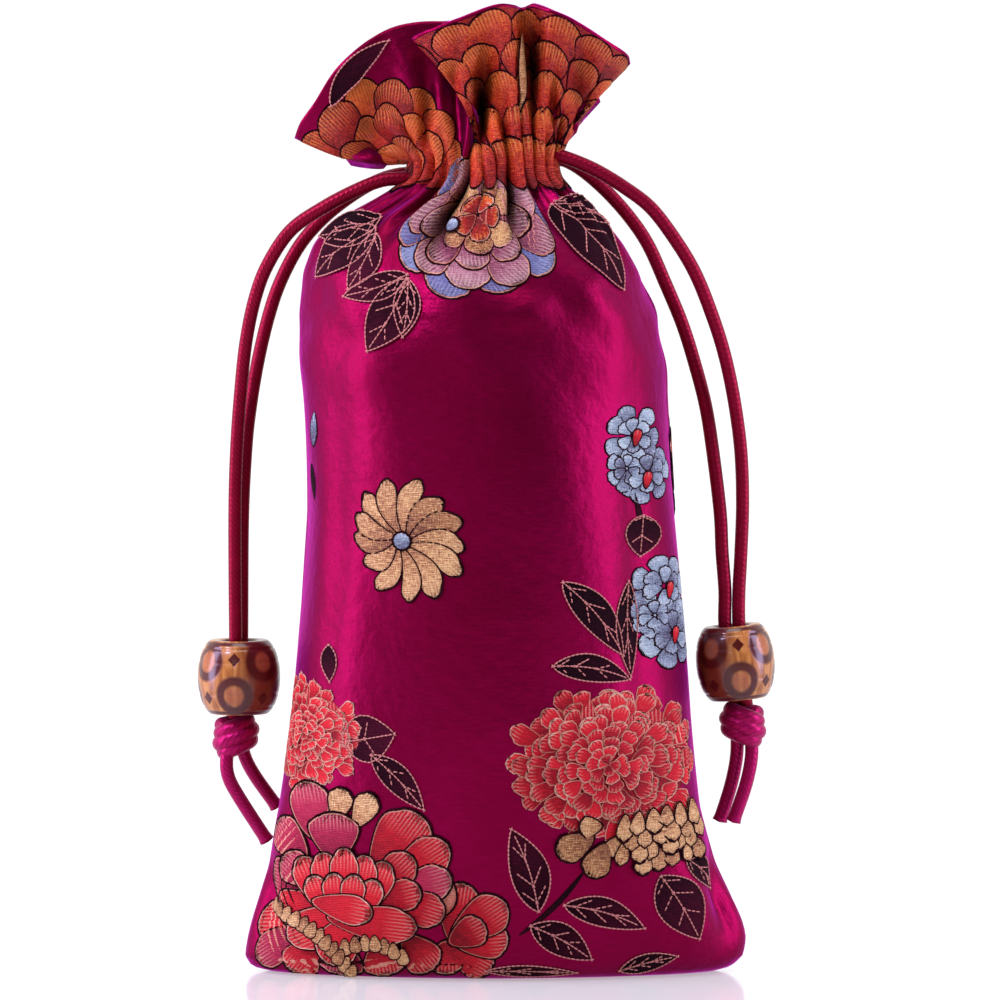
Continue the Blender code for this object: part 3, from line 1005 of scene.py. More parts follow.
def daisy(loom, spot, x, z, size=1.0):
    """A gold daisy of uneven petals, swept round like a pinwheel, with a pale eye."""
    petals = (
        (129, 12.0, 4.4), (104, 12.4, 5.0), (74, 12.6, 5.0), (46, 11.4, 5.2), (19, 12.4, 5.4),
        (-6, 12.2, 5.4), (-28, 13.2, 5.4), (-58, 12.8, 5.6), (-84, 12.0, 4.6), (-118, 11.0, 4.6),
        (-148, 9.0, 4.8), (176, 9.6, 5.0), (152, 10.4, 4.6),
    )
    for level, (angle, reach, width) in enumerate(petals):
        c, s = math.cos(math.radians(angle)), math.sin(math.radians(angle))
        base, tip = (x + 1.6 * c * size, z + 1.6 * s * size), (x + reach * c * size, z + reach * s * size)
        loom.shape(
            "gold", spot, base, tip, width * size, "petal", 1.1 * size, 0.75 * level, 0.4, scallop=0.07
        )
    loom.eye(spot, (x, z), 1.6 * size, level=11)


def carnation(loom, spot, x, z, size=1.0, squash=0.84):
    """A dense red flower: ring on ring of small ruffled petals, each edged with pale thread."""
    rings = [
        (14.4, 19.4, 26, 4.8), (12.6, 17.6, 24, 4.6), (10.6, 15.4, 21, 4.4), (8.6, 13.2, 18, 4.2),
        (6.6, 11.0, 15, 4.0), (4.8, 8.8, 12, 3.8), (3.0, 6.6, 9, 3.5), (1.2, 4.4, 7, 3.0),
        (0.1, 2.4, 4, 2.2),
    ]
    base, tip = (x, z - 16.0 * size * squash), (x, z + 16.0 * size * squash)
    loom.shape("red", spot, base, tip, 32.0 * size, "round", level=0, outline=0.0, tone=0.1)
    rings = [("red", a * size, b * size, n, w * size, 0.5) for a, b, n, w in rings]
    loom.flower(spot, (x, z), rings, squash, outline=0.0, edging="peach", scallop=0.12, first=0)


def front_garden(loom):
    spot = body_spot()
    # the flower under the casing, blue at its scalloped hem and gold towards the gathers
    loom.gap, loom.step, loom.fine = GATHERED_WEAVE
    loom.field("fire", flat_spot, 33.0, 68.0, 155.0, 163.0, 0.2)
    loom.flower(
        flat_spot, (51.0, 151.0),
        [
            ("blue", 9.0, 19.0, 10, 10.4, 0.3), ("pink", 6.0, 16.6, 9, 9.6, 0.35),
            ("pink", 3.6, 12.6, 8, 8.0, 0.4), ("gold", 2.0, 9.6, 7, 6.2, 0.45),
            ("fire", 0.8, 5.4, 5, 4.6, 0.4),
        ],
        0.84, edging="peach", outline=0.34, scallop=0.10,
    )
    loom.eye(flat_spot, (45.8, 149.0), 1.2, level=12)
    loom.leaves(spot, (
        ((-23.2, 150.6), (-36.6, 147.0), 6.8, 0.6), ((-23.6, 148.6), (-36.2, 139.2), 7.4, -0.8),
        ((-23.4, 147.4), (-28.4, 136.8), 5.6, 0.4), ((-17.4, 139.6), (-29.2, 135.4), 5.2, 0.5),
        ((-17.4, 138.8), (-24.4, 124.8), 8.2, 0.6), ((-17.2, 138.8), (-17.8, 127.6), 5.2, 0.3),
        ((11.6, 153.2), (25.0, 136.6), 8.6, 2.0), ((12.2, 154.0), (23.4, 149.6), 4.6, 1.0),
    ), 4)
    loom.gap, loom.step, loom.fine = PLAIN_WEAVE
    daisy(loom, spot, -18.3, 87.8)
    # pale blossoms and dark leaves down the right edge
    for x, z, size in (
        (27.6, 108.0, 0.62), (30.6, 100.4, 0.66), (26.4, 101.6, 0.5), (34.0, 78.0, 0.72),
        (36.2, 68.6, 0.8), (32.0, 72.4, 0.5)
    ):
        loom.flower(
            spot, (x, z),
            [
                ("pale_blue", 3.0 * size, 10.2 * size, 7, 7.4 * size, 0.3),
                ("pale_blue", 1.0 * size, 6.4 * size, 6, 4.8 * size, 0.3)
            ],
            0.9, outline=0.3, scallop=0.08,
        )
    for x, z in ((28.0, 107.4), (30.2, 99.0), (35.0, 77.0), (36.4, 68.0)):
        loom.shape("red", spot, (x, z - 1.5), (x + 0.6, z + 1.7), 2.0, level=5, outline=0.3)
    loom.shape("leaf", spot, (28.2, 97.0), (29.6, 91.0), 0.9, level=1, outline=0.25)
    loom.leaf(spot, (29.9, 92.2), (29.4, 84.2), 7.4, veins=2)
    loom.leaves(spot, (
        ((12.9, 79.8), (25.2, 65.0), 6.4, 1.0), ((26.7, 79.4), (26.9, 60.8), 5.2, -0.6),
        ((11.1, 63.4), (26.6, 60.2), 5.4, 1.0),
    ))
    # the left edge
    loom.shape("pale_blue", spot, (-37.4, 105.6), (-36.8, 112.4), 2.2, "leaf", 0.2, 0, 0.3, 0.0)
    loom.shape("leaf", spot, (-38.6, 102.0), (-37.4, 95.0), 1.8, "leaf", 0.0, 0, 0.2, 0.0)
    loom.leaf(spot, (-33.2, 66.6), (-33.0, 59.4), 3.2, veins=0)
    carnation(loom, spot, -38.6, 48.8, 0.60, 0.92)
    loom.leaf(spot, (-30.4, 47.6), (-20.0, 49.8), 9.4, 0.0, veins=2)
    loom.leaf(spot, (-24.6, 45.4), (-14.2, 34.9), 5.4, 0.5)
    # the wide red flower and the gold petals under it
    carnation(loom, spot, 22.0, 43.6)
    for base, tip, width, tone in (
        ((19.0, 29.6), (12.0, 26.0), 7.0, 0.3), ((21.6, 28.0), (18.4, 21.4), 6.8, 0.3),
        ((20.6, 31.6), (16.2, 31.4), 5.0, 0.8), ((25.0, 29.4), (22.2, 25.4), 5.4, 0.6),
    ):
        loom.shape("gold", spot, base, tip, width, "petal", 0.0, 14.0 + width % 1.3, 0.42, tone, scallop=0.10)
    for j in range(5):
        for i in range(6):
            px, pz = 25.2 + 2.7 * i + 1.2 * (j % 2), 21.6 + 2.6 * j + 0.4 * i
            if (i - 2.6) ** 2 / 11 + (j - 2.6) ** 2 / 6.5 < 1:
                lean, tall = loom.dice.uniform(-0.9, 0.9) + 0.3 * (i - 2), loom.dice.uniform(4.2, 5.6)
                tone, wide = loom.dice.uniform(0.45, 1.0), loom.dice.uniform(3.2, 4.2)
                level = 15.0 + 1.5 * j + 0.75 * (i % 2)
                loom.shape(
                    "gold", spot, (px, pz + 1.6), (px + lean, pz + 1.6 - tall), wide, "petal", 0.0,
                    level, 0.36, tone, scallop=0.14
                )
    loom.shape("leaf", spot, (17.3, 22.4), (4.6, 9.4), 1.0, "round", 0.8, 0, 0.1)
    loom.leaves(spot, (
        ((8.4, 14.4), (3.0, 31.2), 7.6, -0.8), ((13.5, 15.6), (29.3, 10.4), 6.0, 0.9),
        ((6.9, 11.4), (18.9, 4.2), 6.6, 0.6), ((32.4, 20.8), (40.4, 7.6), 9.2, 0.4),
        ((37.4, 23.8), (46.4, 17.0), 5.2, 0.6), ((24.5, 1.6), (36.0, 4.2), 3.8, 0.3),
        ((-1.9, 2.0), (15.9, 1.4), 2.4, 0.2),
    ))
    peony(loom, spot, -30.0, 19.0)
    # the half flower beside it
    for base, tip, width, level, tone in (
        ((-10.0, 8.0), (-10.0, 1.4), 8.0, 0, 0.3), ((-9.0, 6.6), (-1.0, 2.4), 8.4, 0, 0.4),
        ((-8.4, 8.0), (-6.6, 20.0), 9.4, 1, 0.3), ((-8.0, 8.0), (2.2, 9.0), 9.4, 2, 0.5),
        ((-8.6, 9.0), (1.8, 16.0), 10.0, 3, 0.35), ((-9.0, 8.0), (-2.4, 11.6), 7.6, 4, 0.1),
    ):
        loom.shape("red", spot, base, tip, width, "petal", 0.0, level, 0.45, tone, "peach", 0.07)
    loom.leaf_petal(spot, (-10.6, 13.4), (-9.8, 22.2), 4.8)


def peony(loom, spot, x, z, size=1.0):
    """A big open flower: a bright red heart in broad combed petals, with bands of pale gold."""
    petals = (
        # across and up from the heart, base then tip, width, colour, tone
        ((-8, -8), (-20, -9), 10.0, "red", 0.6), ((-9, -10), (-19, -16), 8.8, "rose", 0.4),
        ((-6, -12), (-10.5, -18.4), 9.4, "red", 0.5), ((0, -12), (-1, -18.4), 10.4, "rose", 0.4),
        ((7, -11), (8.6, -18.0), 10.4, "red", 0.3), ((12, -10), (17.4, -16.6), 9.0, "red", 0.2),
        ((-8, 0), (-17, 0.6), 9.6, "rose", 0.4), ((-8, 5), (-15, 11.4), 9.0, "rose", 0.6),
        ((-6, 9), (-8, 20), 9.4, "rose", 0.7), ((-2, 13), (-0.4, 19.4), 6.2, "gold", 0.8),
        ((2, 12), (5.6, 18.6), 6.2, "gold", 1.0), ((-2, 5), (-2.4, 14.2), 12.0, "rose", 0.45),
        ((6, 2), (15, 14.6), 14.0, "red", 0.35), ((9, 1), (20.4, 9), 9.6, "red", 0.45),
        ((10, -1), (21, 2.4), 8.4, "rose", 0.8), ((9, -2), (19.6, -5.4), 8.4, "red", 0.25),
        ((6, -1), (13.4, 6.4), 8.0, "red", 0.15), ((6, -3), (15, -0.4), 7.4, "red", 0.25),
        ((-6, -3), (-13.6, -6.4), 8.6, "red", 0.7), ((-6, 0), (-12.4, 4.6), 8.0, "rose", 0.5),
    )
    for level, (base, tip, width, colour, tone) in enumerate(petals):
        a = (x + base[0] * size, z + base[1] * size)
        b = (x + tip[0] * size, z + tip[1] * size)
        edging = "peach" if colour != "gold" else None
        loom.shape(
            colour, spot, a, b, width * size, "petal", 0.0, level * 0.75, 0.46 * size, tone, edging,
            0.08
        )
    heart = [((dx * 0.55, -5.0), (dx, 7.4 - 0.28 * abs(dx)), 6.6, 0.85) for dx in (-8.4, 8.4, -4.4, 4.4, 0.0)]
    heart += [((dx * 0.55, -6.0), (dx, 2.6 - 0.2 * abs(dx)), 5.6, 0.95) for dx in (-6.4, 6.4, -2.2, 2.2)]
    heart += [
        ((3.0, -4.4), (-11.0, -11.4), 9.4, 0.8), ((2.0, -6.0), (-3.4, -15.6), 10.0, 0.9),
        ((-3.0, -6.4), (14.4, -8.0), 8.8, 0.6), ((-6.0, -3.4), (5.6, -5.4), 7.0, 0.9),
    ]
    for level, (base, tip, width, tone) in enumerate(heart):
        a = (x + base[0] * size, z + base[1] * size)
        b = (x + tip[0] * size, z + tip[1] * size)
        loom.shape(
            "red", spot, a, b, width * size, "petal", 0.0, 15.0 + level * 0.75, 0.34 * size, tone,
            "peach", 0.10
        )
    for start, end, count in (((-14.2, -3.4), (2.2, -15.8), 12), ((0.2, -10.6), (11.6, -12.2), 7)):
        across = np.array((end[0] - start[0], end[1] - start[1]), float)
        out = np.array((across[1], -across[0])) / np.linalg.norm(across)
        for i in range(count):
            share = i / (count - 1)
            base = np.array((x, z)) + (
                np.array(start) + across * share - out * 1.8 * math.sin(math.pi * share)
            ) * size
            tip = base + (out * 3.3 + across / np.linalg.norm(across) * 0.7) * size
            level = 26 + 0.75 * (i % 2)
            loom.shape(
                "gold", spot, tuple(base), tuple(tip), 2.9 * size, "petal", 0.0, level, 0.26,
                loom.dice.uniform(0.3, 1.0)
            )


def back_garden(loom):
    """The same cloth seen from behind: the repeat comes round in another place."""
    spot = body_spot(back=True)
    peony(loom, spot, 18.5, 98.0)
    carnation(loom, spot, -20.0, 64.0)
    daisy(loom, spot, 20.0, 52.0)
    daisy(loom, spot, -14.0, 118.0, 0.95)
    carnation(loom, spot, 22.0, 20.0, 0.95)
    loom.flower(
        spot, (-22.0, 22.0),
        [
            ("pale_blue", 4.0, 13.0, 10, 6.8, 0.25), ("gold", 2.0, 8.6, 8, 3.4, 0.2),
            ("pale_blue", 0.6, 5.4, 6, 3.6, 0.2)
        ],
        0.9,
    )
    loom.flower(
        spot, (6.0, 143.0),
        [
            ("blue", 6.0, 15.0, 11, 7.6, 0.2), ("pink", 3.4, 11.0, 9, 5.8, 0.2),
            ("gold", 1.6, 6.8, 7, 3.2, 0.2)
        ],
        0.72,
    )
    loom.leaves(spot, (
        ((-4.0, 92.0), (-14.0, 104.0), 6.0, 0.6), ((-6.0, 88.0), (-20.0, 90.0), 5.4, -0.6),
        ((0.0, 78.0), (-2.0, 60.0), 6.4, 0.5), ((2.0, 70.0), (14.0, 74.0), 5.4, 0.5),
        ((-4.0, 44.0), (-12.0, 32.0), 6.0, 0.4), ((2.0, 40.0), (6.0, 26.0), 5.6, -0.5),
        ((-2.0, 16.0), (8.0, 6.0), 5.0, 0.4), ((-24.0, 138.0), (-32.0, 128.0), 6.4, 0.3),
        ((-22.0, 140.0), (-20.0, 128.0), 5.2, 0.3), ((20.0, 128.0), (30.0, 134.0), 5.6, 0.3),
        ((18.0, 128.0), (26.0, 120.0), 6.2, 0.3),
    ))


def frill_garden(loom):
    """Broad flame-coloured petals cover most of the frill; satin and a dark leaf show at its left."""
    loom.gap, loom.step, loom.fine = GATHERED_WEAVE
    loom.field("fire", flat_spot, 46.5, 112.0, 157.0, TOP_H - 0.7, 0.45)
    # rows of scales from the rim down: foot height, length, width
    scales = (
        (183.0, 15.0, 12.0), (176.0, 13.0, 12.0), (169.0, 12.5, 11.0), (162.0, 12.0, 9.5),
        (156.5, 10.0, 8.0),
    )
    for row, (low, length, width) in enumerate(scales):
        u = 47.0 + 4.0 * (row % 2)
        while u < 113.0:
            lean = 0.10 * (u - 78.0) + loom.dice.uniform(-2.0, 2.0)
            top = min(low + length * loom.dice.uniform(0.92, 1.06), TOP_H - 0.8)
            level = 1.6 * row + 0.8 * (int(u) % 2)
            tone = loom.dice.uniform(0.0, 0.85)
            loom.shape(
                "fire", flat_spot, (u, low), (u + lean, top), width, "petal", 0.0, level, 0.42, tone,
                scallop=0.10
            )
            u += width * loom.dice.uniform(0.66, 0.84)
    rings = ((43.0, 25.0, 13, 13.0), (35.0, 17.0, 11, 12.0), (26.0, 10.0, 9, 10.0), (17.0, 9.0, 5, 8.0))
    for ring, (reach, start, count, width) in enumerate(rings):
        for i in range(count):
            angle = math.radians(-70 + 140 * (i + 0.3 * (ring % 2)) / (count - 1))
            far = reach * loom.dice.uniform(0.94, 1.03)
            base = (start * math.sin(angle), 150.0 + start * math.cos(angle))
            tip = (far * math.sin(angle), min(150.0 + far * math.cos(angle), TOP_H - 0.8))
            if min(base[1], tip[1]) > 156.0 and tip[0] < 39.0:
                level = 1.6 * ring + 0.8 * (i % 2)
                loom.shape("fire", flat_spot, base, tip, width, "petal", 0.0, level, 0.42, None, scallop=0.08)
    loom.field("fire", flat_spot, -8.0, 34.0, 157.5, 167.0, 0.5)
    loom.shape("gold", flat_spot, (68.5, 170.0), (69.5, 190.0), 2.4, "leaf", 0.0, 10, 0.4, 0.7)
    loom.leaf(flat_spot, (10.0, 192.0), (27.0, 193.2), 5.6, 0.0, 5, 0)
    for i in range(1, 13):
        turn, height = 0.53 + 0.035 * i, (186.0, 178.0, 188.0)[i % 3]
        if i in (3, 4, 9):
            loom.leaf(near_spot(turn, height), (-1.0, -6.0), (1.6, 5.0), 5.6)
            continue
        colour = "blue" if i in (6, 7) else "fire"
        spot = near_spot(turn, height)
        loom.shape(colour, spot, (0.0, -7.0), (0.0, 6.0), 9.0, "petal", 0.0, i % 4, 0.4, None, scallop=0.07)


# ---------------------------------------------------------------- dashed threads by Geometry Nodes


def dash_tree(look):
    """Puts a short flattened stitch at every step along the curves."""
    tree = bpy.data.node_groups.new("thread_dashes", "GeometryNodeTree")
    face = tree.interface
    face.new_socket("Lines", in_out="INPUT", socket_type="NodeSocketGeometry")
    for name, value in (("Step", 0.0016), ("Dash length", 0.0011), ("Thread radius", 0.0002)):
        socket = face.new_socket(name, in_out="INPUT", socket_type="NodeSocketFloat")
        socket.default_value = value
    face.new_socket("Dashes", in_out="OUTPUT", socket_type="NodeSocketGeometry")
    add, link = tree.nodes.new, tree.links.new
    into, out = add("NodeGroupInput"), add("NodeGroupOutput")
    spaced = add("GeometryNodeResampleCurve")
    spaced.mode = "LENGTH"
    spots = add("GeometryNodeCurveToPoints")
    spots.mode = "EVALUATED"
    dash = add("GeometryNodeMeshUVSphere")
    dash.inputs["Segments"].default_value = 6
    dash.inputs["Rings"].default_value = 4
    dash.inputs["Radius"].default_value = 1.0
    size = add("ShaderNodeCombineXYZ")
    halved = add("ShaderNodeMath")
    halved.operation = "MULTIPLY"
    halved.inputs[1].default_value = 0.5
    turned = add("FunctionNodeAlignRotationToVector")
    turned.axis = "Z"
    placed = add("GeometryNodeInstanceOnPoints")
    solid = add("GeometryNodeRealizeInstances")
    painted = add("GeometryNodeSetMaterial")
    painted.inputs["Material"].default_value = look
    link(into.outputs["Lines"], spaced.inputs["Curve"])
    link(into.outputs["Step"], spaced.inputs["Length"])
    link(spaced.outputs[0], spots.inputs["Curve"])
    link(spots.outputs["Tangent"], turned.inputs["Vector"])
    link(spots.outputs["Points"], placed.inputs["Points"])
    link(dash.outputs["Mesh"], placed.inputs["Instance"])
    link(turned.outputs[0], placed.inputs["Rotation"])
    link(into.outputs["Thread radius"], size.inputs[0])
    link(into.outputs["Thread radius"], size.inputs[1])
    link(into.outputs["Dash length"], halved.inputs[0])
    link(halved.outputs[0], size.inputs[2])
    link(size.outputs[0], placed.inputs["Scale"])
    link(placed.outputs[0], solid.inputs[0])
    link(solid.outputs[0], painted.inputs["Geometry"])
    link(painted.outputs[0], out.inputs[0])
    return tree


def make_threads(name, lines, look, step, length, radius):
    """lines: arrays of points in millimetres. The dashes become one plain mesh piece."""
    curve = bpy.data.curves.new(name + "_lines", "CURVE")
    curve.dimensions = "3D"
    for line in lines:
        spline = curve.splines.new("POLY")
        spline.points.add(len(line) - 1)
        spline.points.foreach_set("co", np.c_[np.asarray(line) * MM, np.ones(len(line))].ravel())
    guide = bpy.data.objects.new(name + "_lines", curve)
    bpy.context.scene.collection.objects.link(guide)
    modifier = guide.modifiers.new("Dashes", "NODES")
    tree = dash_tree(look)
    modifier.node_group = tree
    sizes = {"Step": step * MM, "Dash length": length * MM, "Thread radius": radius * MM}
    for socket in tree.interface.items_tree:
        if socket.in_out == "INPUT" and socket.name in sizes:
            modifier[socket.identifier] = sizes[socket.name]
    guide.update_tag()
    graph = bpy.context.evaluated_depsgraph_get()
    mesh = bpy.data.meshes.new_from_object(guide.evaluated_get(graph), depsgraph=graph)
    bpy.data.objects.remove(guide, do_unlink=True)
    mesh.polygons.foreach_set("use_smooth", [True] * len(mesh.polygons))
    piece = bpy.data.objects.new(name, mesh)
    bpy.context.scene.collection.objects.link(piece)
    if not mesh.materials:
        mesh.materials.append(look)
    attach(piece, "pouch")
    return piece


def thread_lines(threads):
    """The dashed lines of the motifs, laid on the cloth."""
    lines = []
    for spot, points, lift in threads:
        flat = np.array(points, float)
        along = np.r_[0, np.cumsum(np.linalg.norm(np.diff(flat, axis=0), axis=1))]
        if along[-1] < 1.0:
            continue
        taken = np.linspace(0, along[-1], max(3, int(along[-1] / 0.5)))
        x, z = np.interp(taken, along, flat[:, 0]), np.interp(taken, along, flat[:, 1])
        turn, height = spot(x, z)
        lines.append(CLOTH.place(turn, height) + CLOTH.facing(turn, height) * lift)
    return lines


# ---------------------------------------------------------------- finishes


def satin_look():
    """Magenta satin: smooth floats across a crimson ground, with a fine twill."""
    w = Wiring("magenta_satin")
    flat = w.uv()
    slub = w.noise(w.uv((0.35, 5.0, 1.0)), 1.0, 3.0)
    cloud = w.noise(flat, 0.05, 2.0)
    shade = w.math("ADD", w.math("MULTIPLY", slub, 0.55), w.math("MULTIPLY", cloud, 0.45))
    colour = w.ramp(
        shade,
        [
            (0.3, (0.150, 0.0005, 0.017, 1)), (0.55, (0.200, 0.0008, 0.028, 1)),
            (0.8, (0.275, 0.0013, 0.052, 1))
        ]
    )
    # Painted shade: the colour is pulled towards near black where the cloth lies deep in a fold or gather.
    colour = w.mix(w.math("MULTIPLY", w.attribute("deep"), 0.85), colour, (0.02, 0.0005, 0.004, 1))
    twill = w.node(
        "ShaderNodeTexWave", wave_type="BANDS", bands_direction="DIAGONAL",
        inputs={"Vector": flat, "Scale": 1.1}
    )
    twill.inputs["Distortion"].default_value = 0.4
    rows = w.node(
        "ShaderNodeTexWave", wave_type="BANDS", bands_direction="Y",
        inputs={"Vector": flat, "Scale": 1.3}
    )
    height = w.math(
        "ADD", w.math("MULTIPLY", twill.outputs["Fac"], 0.5),
        w.math("MULTIPLY", rows.outputs["Fac"], 0.5)
    )
    fine = w.bump(height, 0.22, 0.00008)
    soft = w.bump(w.noise(flat, 0.35, 3.0), 0.35, 0.0006, fine)
    rough = w.math("ADD", 0.31, w.math("MULTIPLY", slub, 0.12))
    look = w.finish(
        colour, rough, soft, Metallic=0.8, Anisotropic=0.5, Sheen_Weight=1.0, Sheen_Roughness=0.32
    )
    w.shader.inputs["Sheen Tint"].default_value = (1.0, 0.05, 0.80, 1.0)
    w.shader.inputs["Specular Tint"].default_value = (1.0, 0.06, 0.65, 1.0)
    return look


def thread_look(
    name, dark, middle, light, rough=0.55, metal=0.0, stripes=0.6, comb=0.0, comb_colour=None, shine=0.3
):
    """Woven silk: dark at a shape's base to light at its tip, streaked by the weft and combed at the rim."""
    w = Wiring(name)
    edge, tip, tone, lane = (w.attribute(key) for key in ("edge", "tip", "tone", "lane"))
    streak = w.noise(w.uv((0.6, 7.0, 1.0)), 1.0, 2.0, 0.7)
    hatch = w.noise(w.uv((5.0, 0.8, 1.0), 0.6), 1.0, 2.0)
    mixed = w.math("ADD", w.math("MULTIPLY", tip, 0.40), w.math("MULTIPLY", tone, 0.38))
    mixed = w.math("ADD", mixed, w.math("MULTIPLY", w.math("SUBTRACT", streak, 0.5), stripes * 1.6))
    mixed = w.math(
        "ADD", mixed, w.math("MULTIPLY", w.math("SUBTRACT", hatch, 0.5), stripes * 0.8), clamp=True
    )
    colour = w.ramp(mixed, [(0.12, dark), (0.42, middle), (0.85, light)])
    if comb:
        wobble = w.math("MULTIPLY", w.noise(w.uv((1.2, 1.2, 1.0)), 1.0), 3.0)
        teeth = w.math("SINE", w.math("ADD", w.math("MULTIPLY", lane, 2 * math.pi / 0.72), wobble))
        near_tip = w.math("MULTIPLY", w.math("SUBTRACT", tip, 0.62), 3.0, clamp=True)
        share = w.math(
            "MULTIPLY", w.math("MULTIPLY", w.math("SUBTRACT", teeth, 0.05), 1.8, clamp=True), near_tip
        )
        colour = w.mix(w.math("MULTIPLY", share, comb), colour, comb_colour)
    shadow = w.math("MULTIPLY", w.math("POWER", edge, 6.0), 0.3)
    colour = w.mix(shadow, colour, tuple(c * 0.25 for c in dark[:3]) + (1,))
    # Painted shade: the thread darkens towards near black where it lies deep in a fold of the cloth.
    colour = w.mix(w.math("MULTIPLY", w.attribute("deep"), 0.88), colour, (0.012, 0.001, 0.003, 1))
    rows = w.node(
        "ShaderNodeTexWave", wave_type="BANDS", bands_direction="Y",
        inputs={"Vector": w.uv(), "Scale": 0.9}
    )
    rows.inputs["Distortion"].default_value = 1.0
    height = w.math("ADD", rows.outputs["Fac"], streak)
    return w.finish(colour, rough, w.bump(height, 0.6, 0.00018), Metallic=metal, Specular_IOR_Level=shine)


def cord_look(name, low, high, sheen):
    """Rattail: fine satin threads that wind round the cord."""
    w = Wiring(name)
    turned = w.uv((10.0, 1.1, 1.0))
    wave = w.node(
        "ShaderNodeTexWave", wave_type="BANDS", bands_direction="DIAGONAL",
        inputs={"Vector": turned, "Scale": 0.55}
    )
    wave.inputs["Distortion"].default_value = 0.8
    patch = w.noise(w.uv((1.0, 0.4, 1.0)), 1.0, 3.0)
    colour = w.mix(patch, low, high)
    colour = w.mix(w.math("MULTIPLY", wave.outputs["Fac"], 0.4), colour, (0.14, 0.001, 0.015, 1))
    look = w.finish(
        colour, 0.36, w.bump(wave.outputs["Fac"], 0.35, 0.0001), Metallic=0.5, Sheen_Weight=sheen,
        Anisotropic=0.4, Specular_IOR_Level=0.12
    )
    w.shader.inputs["Sheen Tint"].default_value = (1.0, 0.2, 0.5, 1.0)
    return look


def bead_look():
    """Glossy tan wood, redder on one side, burnt with rings, dots and lozenges."""
    w = Wiring("burnt_wood")
    height, tx, ty = w.attribute("height"), w.attribute("turn_x"), w.attribute("turn_y")
    place = w.node("ShaderNodeCombineXYZ", inputs={0: tx, 1: ty, 2: height}).outputs[0]
    stretched = w.node("ShaderNodeMapping", inputs={"Vector": place, "Scale": (3.0, 3.0, 0.7)}).outputs[0]
    grain = w.noise(stretched, 2.4, 4.0, 0.6)
    wood = w.ramp(
        grain,
        [(0.3, (0.24, 0.065, 0.014, 1)), (0.5, (0.44, 0.16, 0.035, 1)), (0.72, (0.58, 0.27, 0.08, 1))]
    )
    red = w.math("MULTIPLY", w.math("ADD", w.math("MULTIPLY", tx, 2.6), 0.1, clamp=True), 0.9)
    wood = w.mix(red, wood, (0.13, 0.010, 0.007, 1))
    angle = w.math("ARCTAN2", ty, tx)
    round_ = w.math("MULTIPLY", angle, 1 / (2 * math.pi))

    def far_from(count, shift, at, wide, tall, square=False):
        """How far from the nearest of a row of marks, where 1 is a mark's edge."""
        cell = w.math(
            "SUBTRACT",
            w.math("FRACT", w.math("ADD", w.math("MULTIPLY", round_, count), count + shift)), 0.5
        )
        across = w.math("MULTIPLY", w.math("ABSOLUTE", cell), 1 / wide)
        up = w.math("MULTIPLY", w.math("ABSOLUTE", w.math("SUBTRACT", height, at)), 1 / tall)
        if square:
            return w.math("ADD", across, up)
        return w.math("SQRT", w.math("ADD", w.math("MULTIPLY", across, across), w.math("MULTIPLY", up, up)))

    def within(far, edge):
        return w.math("MULTIPLY", w.math("SUBTRACT", edge, far), 7.0, clamp=True)

    marks, hearts = None, None
    for shift, at in ((0.05, 0.46), (0.55, -0.46)):
        far = far_from(4, shift, at, 0.33, 0.58)
        ring = w.math("MULTIPLY", within(far, 1.0), w.math("SUBTRACT", 1.0, within(far, 0.56)))
        marks = ring if marks is None else w.math("MAXIMUM", marks, ring)
        heart = within(far, 0.50)
        hearts = heart if hearts is None else w.math("MAXIMUM", hearts, heart)
        marks = w.math("MAXIMUM", marks, within(far_from(4, shift + 0.5, at * 1.15, 0.11, 0.20, True), 1.0))
    for at in (0.93, -0.93):
        gap = w.math("ABSOLUTE", w.math("SUBTRACT", height, at))
        marks = w.math("MAXIMUM", marks, w.math("MULTIPLY", w.math("SUBTRACT", 0.05, gap), 60.0, clamp=True))
    colour = w.mix(w.math("MULTIPLY", hearts, 0.55), wood, (0.36, 0.085, 0.035, 1))
    colour = w.mix(marks, colour, (0.075, 0.006, 0.004, 1))
    bump = w.bump(w.math("SUBTRACT", 1.0, marks), 0.5, 0.00012)
    return w.finish(colour, 0.28, bump, Coat_Weight=0.4, Coat_Roughness=0.12, Specular_IOR_Level=0.3)


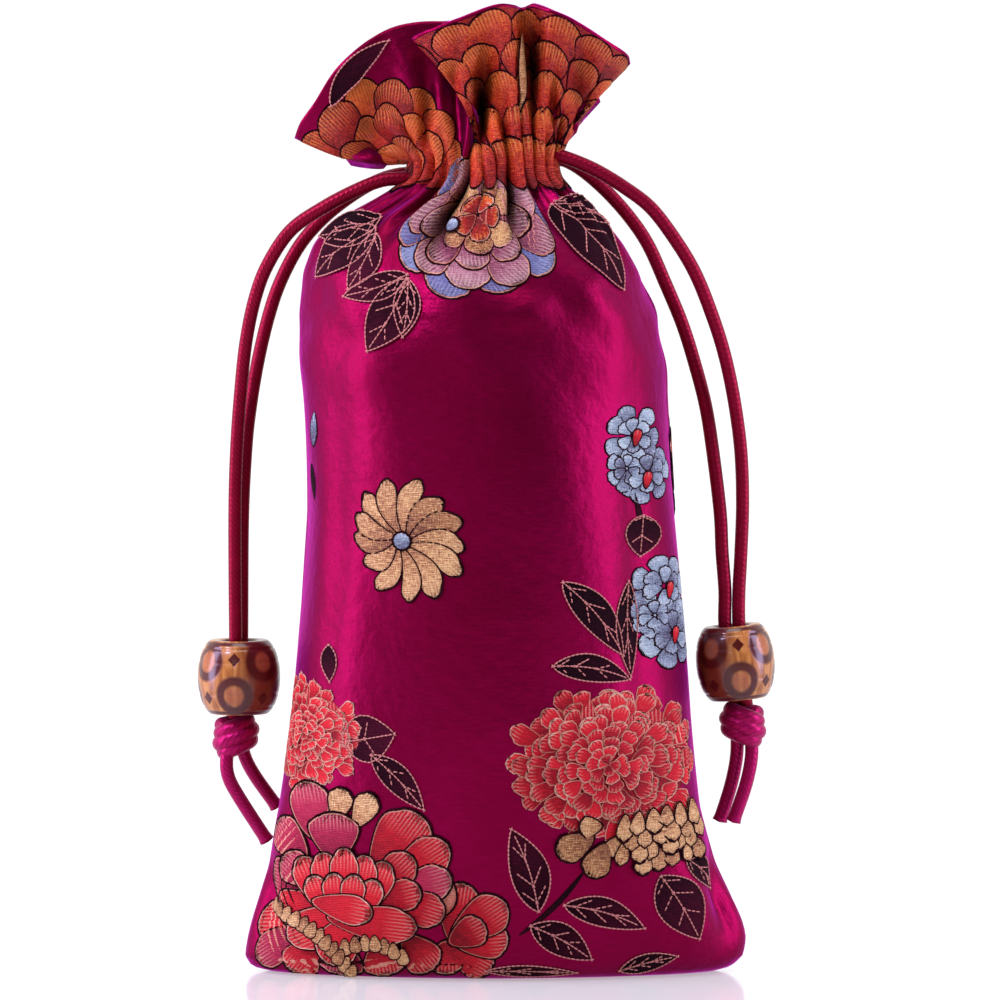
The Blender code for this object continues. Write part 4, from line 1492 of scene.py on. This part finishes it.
def make_looks():
    return {
        "outline": thread_look(
            "dark_outline", (0.008, 0.001, 0.002, 1), (0.016, 0.002, 0.004, 1), (0.04, 0.004, 0.008, 1),
            0.8, shine=0.04
        ),
        "leaf": thread_look(
            "maroon_leaf", (0.008, 0.001, 0.003, 1), (0.020, 0.0015, 0.006, 1),
            (0.075, 0.004, 0.018, 1), 0.75, shine=0.05
        ),
        "gold": thread_look(
            "gold_thread", (0.13, 0.032, 0.010, 1), (0.44, 0.19, 0.062, 1), (0.82, 0.54, 0.23, 1), 0.5,
            0.1, 1.3,
            0.5, (0.30, 0.035, 0.02, 1),
        ),
        "red": thread_look(
            "red_silk", (0.17, 0.001, 0.006, 1), (0.52, 0.007, 0.018, 1), (0.80, 0.022, 0.028, 1), 0.5,
            0.0, 0.5,
            0.55, (0.84, 0.38, 0.28, 1), 0.12,
        ),
        "rose": thread_look(
            "rose_silk", (0.14, 0.002, 0.016, 1), (0.38, 0.010, 0.048, 1), (0.60, 0.05, 0.10, 1), 0.5,
            0.0, 0.6,
            0.7, (0.70, 0.30, 0.24, 1), 0.12,
        ),
        "peach": thread_look(
            "peach_silk", (0.40, 0.08, 0.05, 1), (0.66, 0.26, 0.17, 1), (0.84, 0.50, 0.34, 1), 0.6,
            shine=0.1
        ),
        "fire": thread_look(
            "fire_silk", (0.10, 0.002, 0.003, 1), (0.43, 0.014, 0.009, 1), (0.84, 0.155, 0.020, 1), 0.5,
            0.0, 0.9,
            0.6, (0.86, 0.36, 0.08, 1), 0.2,
        ),
        "blue": thread_look(
            "blue_silk", (0.05, 0.03, 0.10, 1), (0.12, 0.12, 0.26, 1), (0.28, 0.38, 0.54, 1), 0.5,
            comb=0.5, comb_colour=(0.50, 0.40, 0.55, 1), shine=0.15,
        ),
        "pink": thread_look(
            "lilac_silk", (0.07, 0.008, 0.018, 1), (0.26, 0.055, 0.095, 1), (0.56, 0.30, 0.32, 1), 0.5,
            0.0, 0.9,
            0.7, (0.74, 0.50, 0.40, 1), 0.15,
        ),
        "pale_blue": thread_look(
            "pale_silk", (0.08, 0.07, 0.11, 1), (0.22, 0.28, 0.34, 1), (0.54, 0.68, 0.66, 1), 0.5, 0.0, 0.9,
            0.5, (0.70, 0.70, 0.80, 1), 0.15,
        ),
    }


# ---------------------------------------------------------------- putting it together


def main():
    add_camera()
    add_lights()
    add_floor()
    crimson = cord_look("crimson_rattail", (0.17, 0.0008, 0.010, 1), (0.30, 0.0015, 0.030, 1), 0.08)
    # Painted highlight: the knots are tied in the same crimson cord, given a lighter, pinker copy of its
    # colour and more sheen to stand in for the bright magenta light on them.
    highlit_knot_look = cord_look("knot_rattail_painted_highlight", (0.30, 0.001, 0.050, 1), (0.46, 0.003, 0.120, 1), 0.3)
    make_cords(crimson, highlit_knot_look)
    wood = bead_look()
    for side in ("left", "right"):
        make_bead(side, wood)
    bag = make_bag(satin_look())
    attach(bag, "pouch")
    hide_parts("brocade_bag")
    loom = Loom(make_looks())
    front_garden(loom)
    back_garden(loom)
    frill_garden(loom)
    loom.make()
    peach = thread_look(
        "peach_thread", (0.50, 0.18, 0.15, 1), (0.66, 0.32, 0.26, 1), (0.80, 0.50, 0.40, 1), 0.5
    )
    make_threads("leaf_threads", thread_lines(loom.threads), peach, 0.9, 0.98, 0.17)


main()
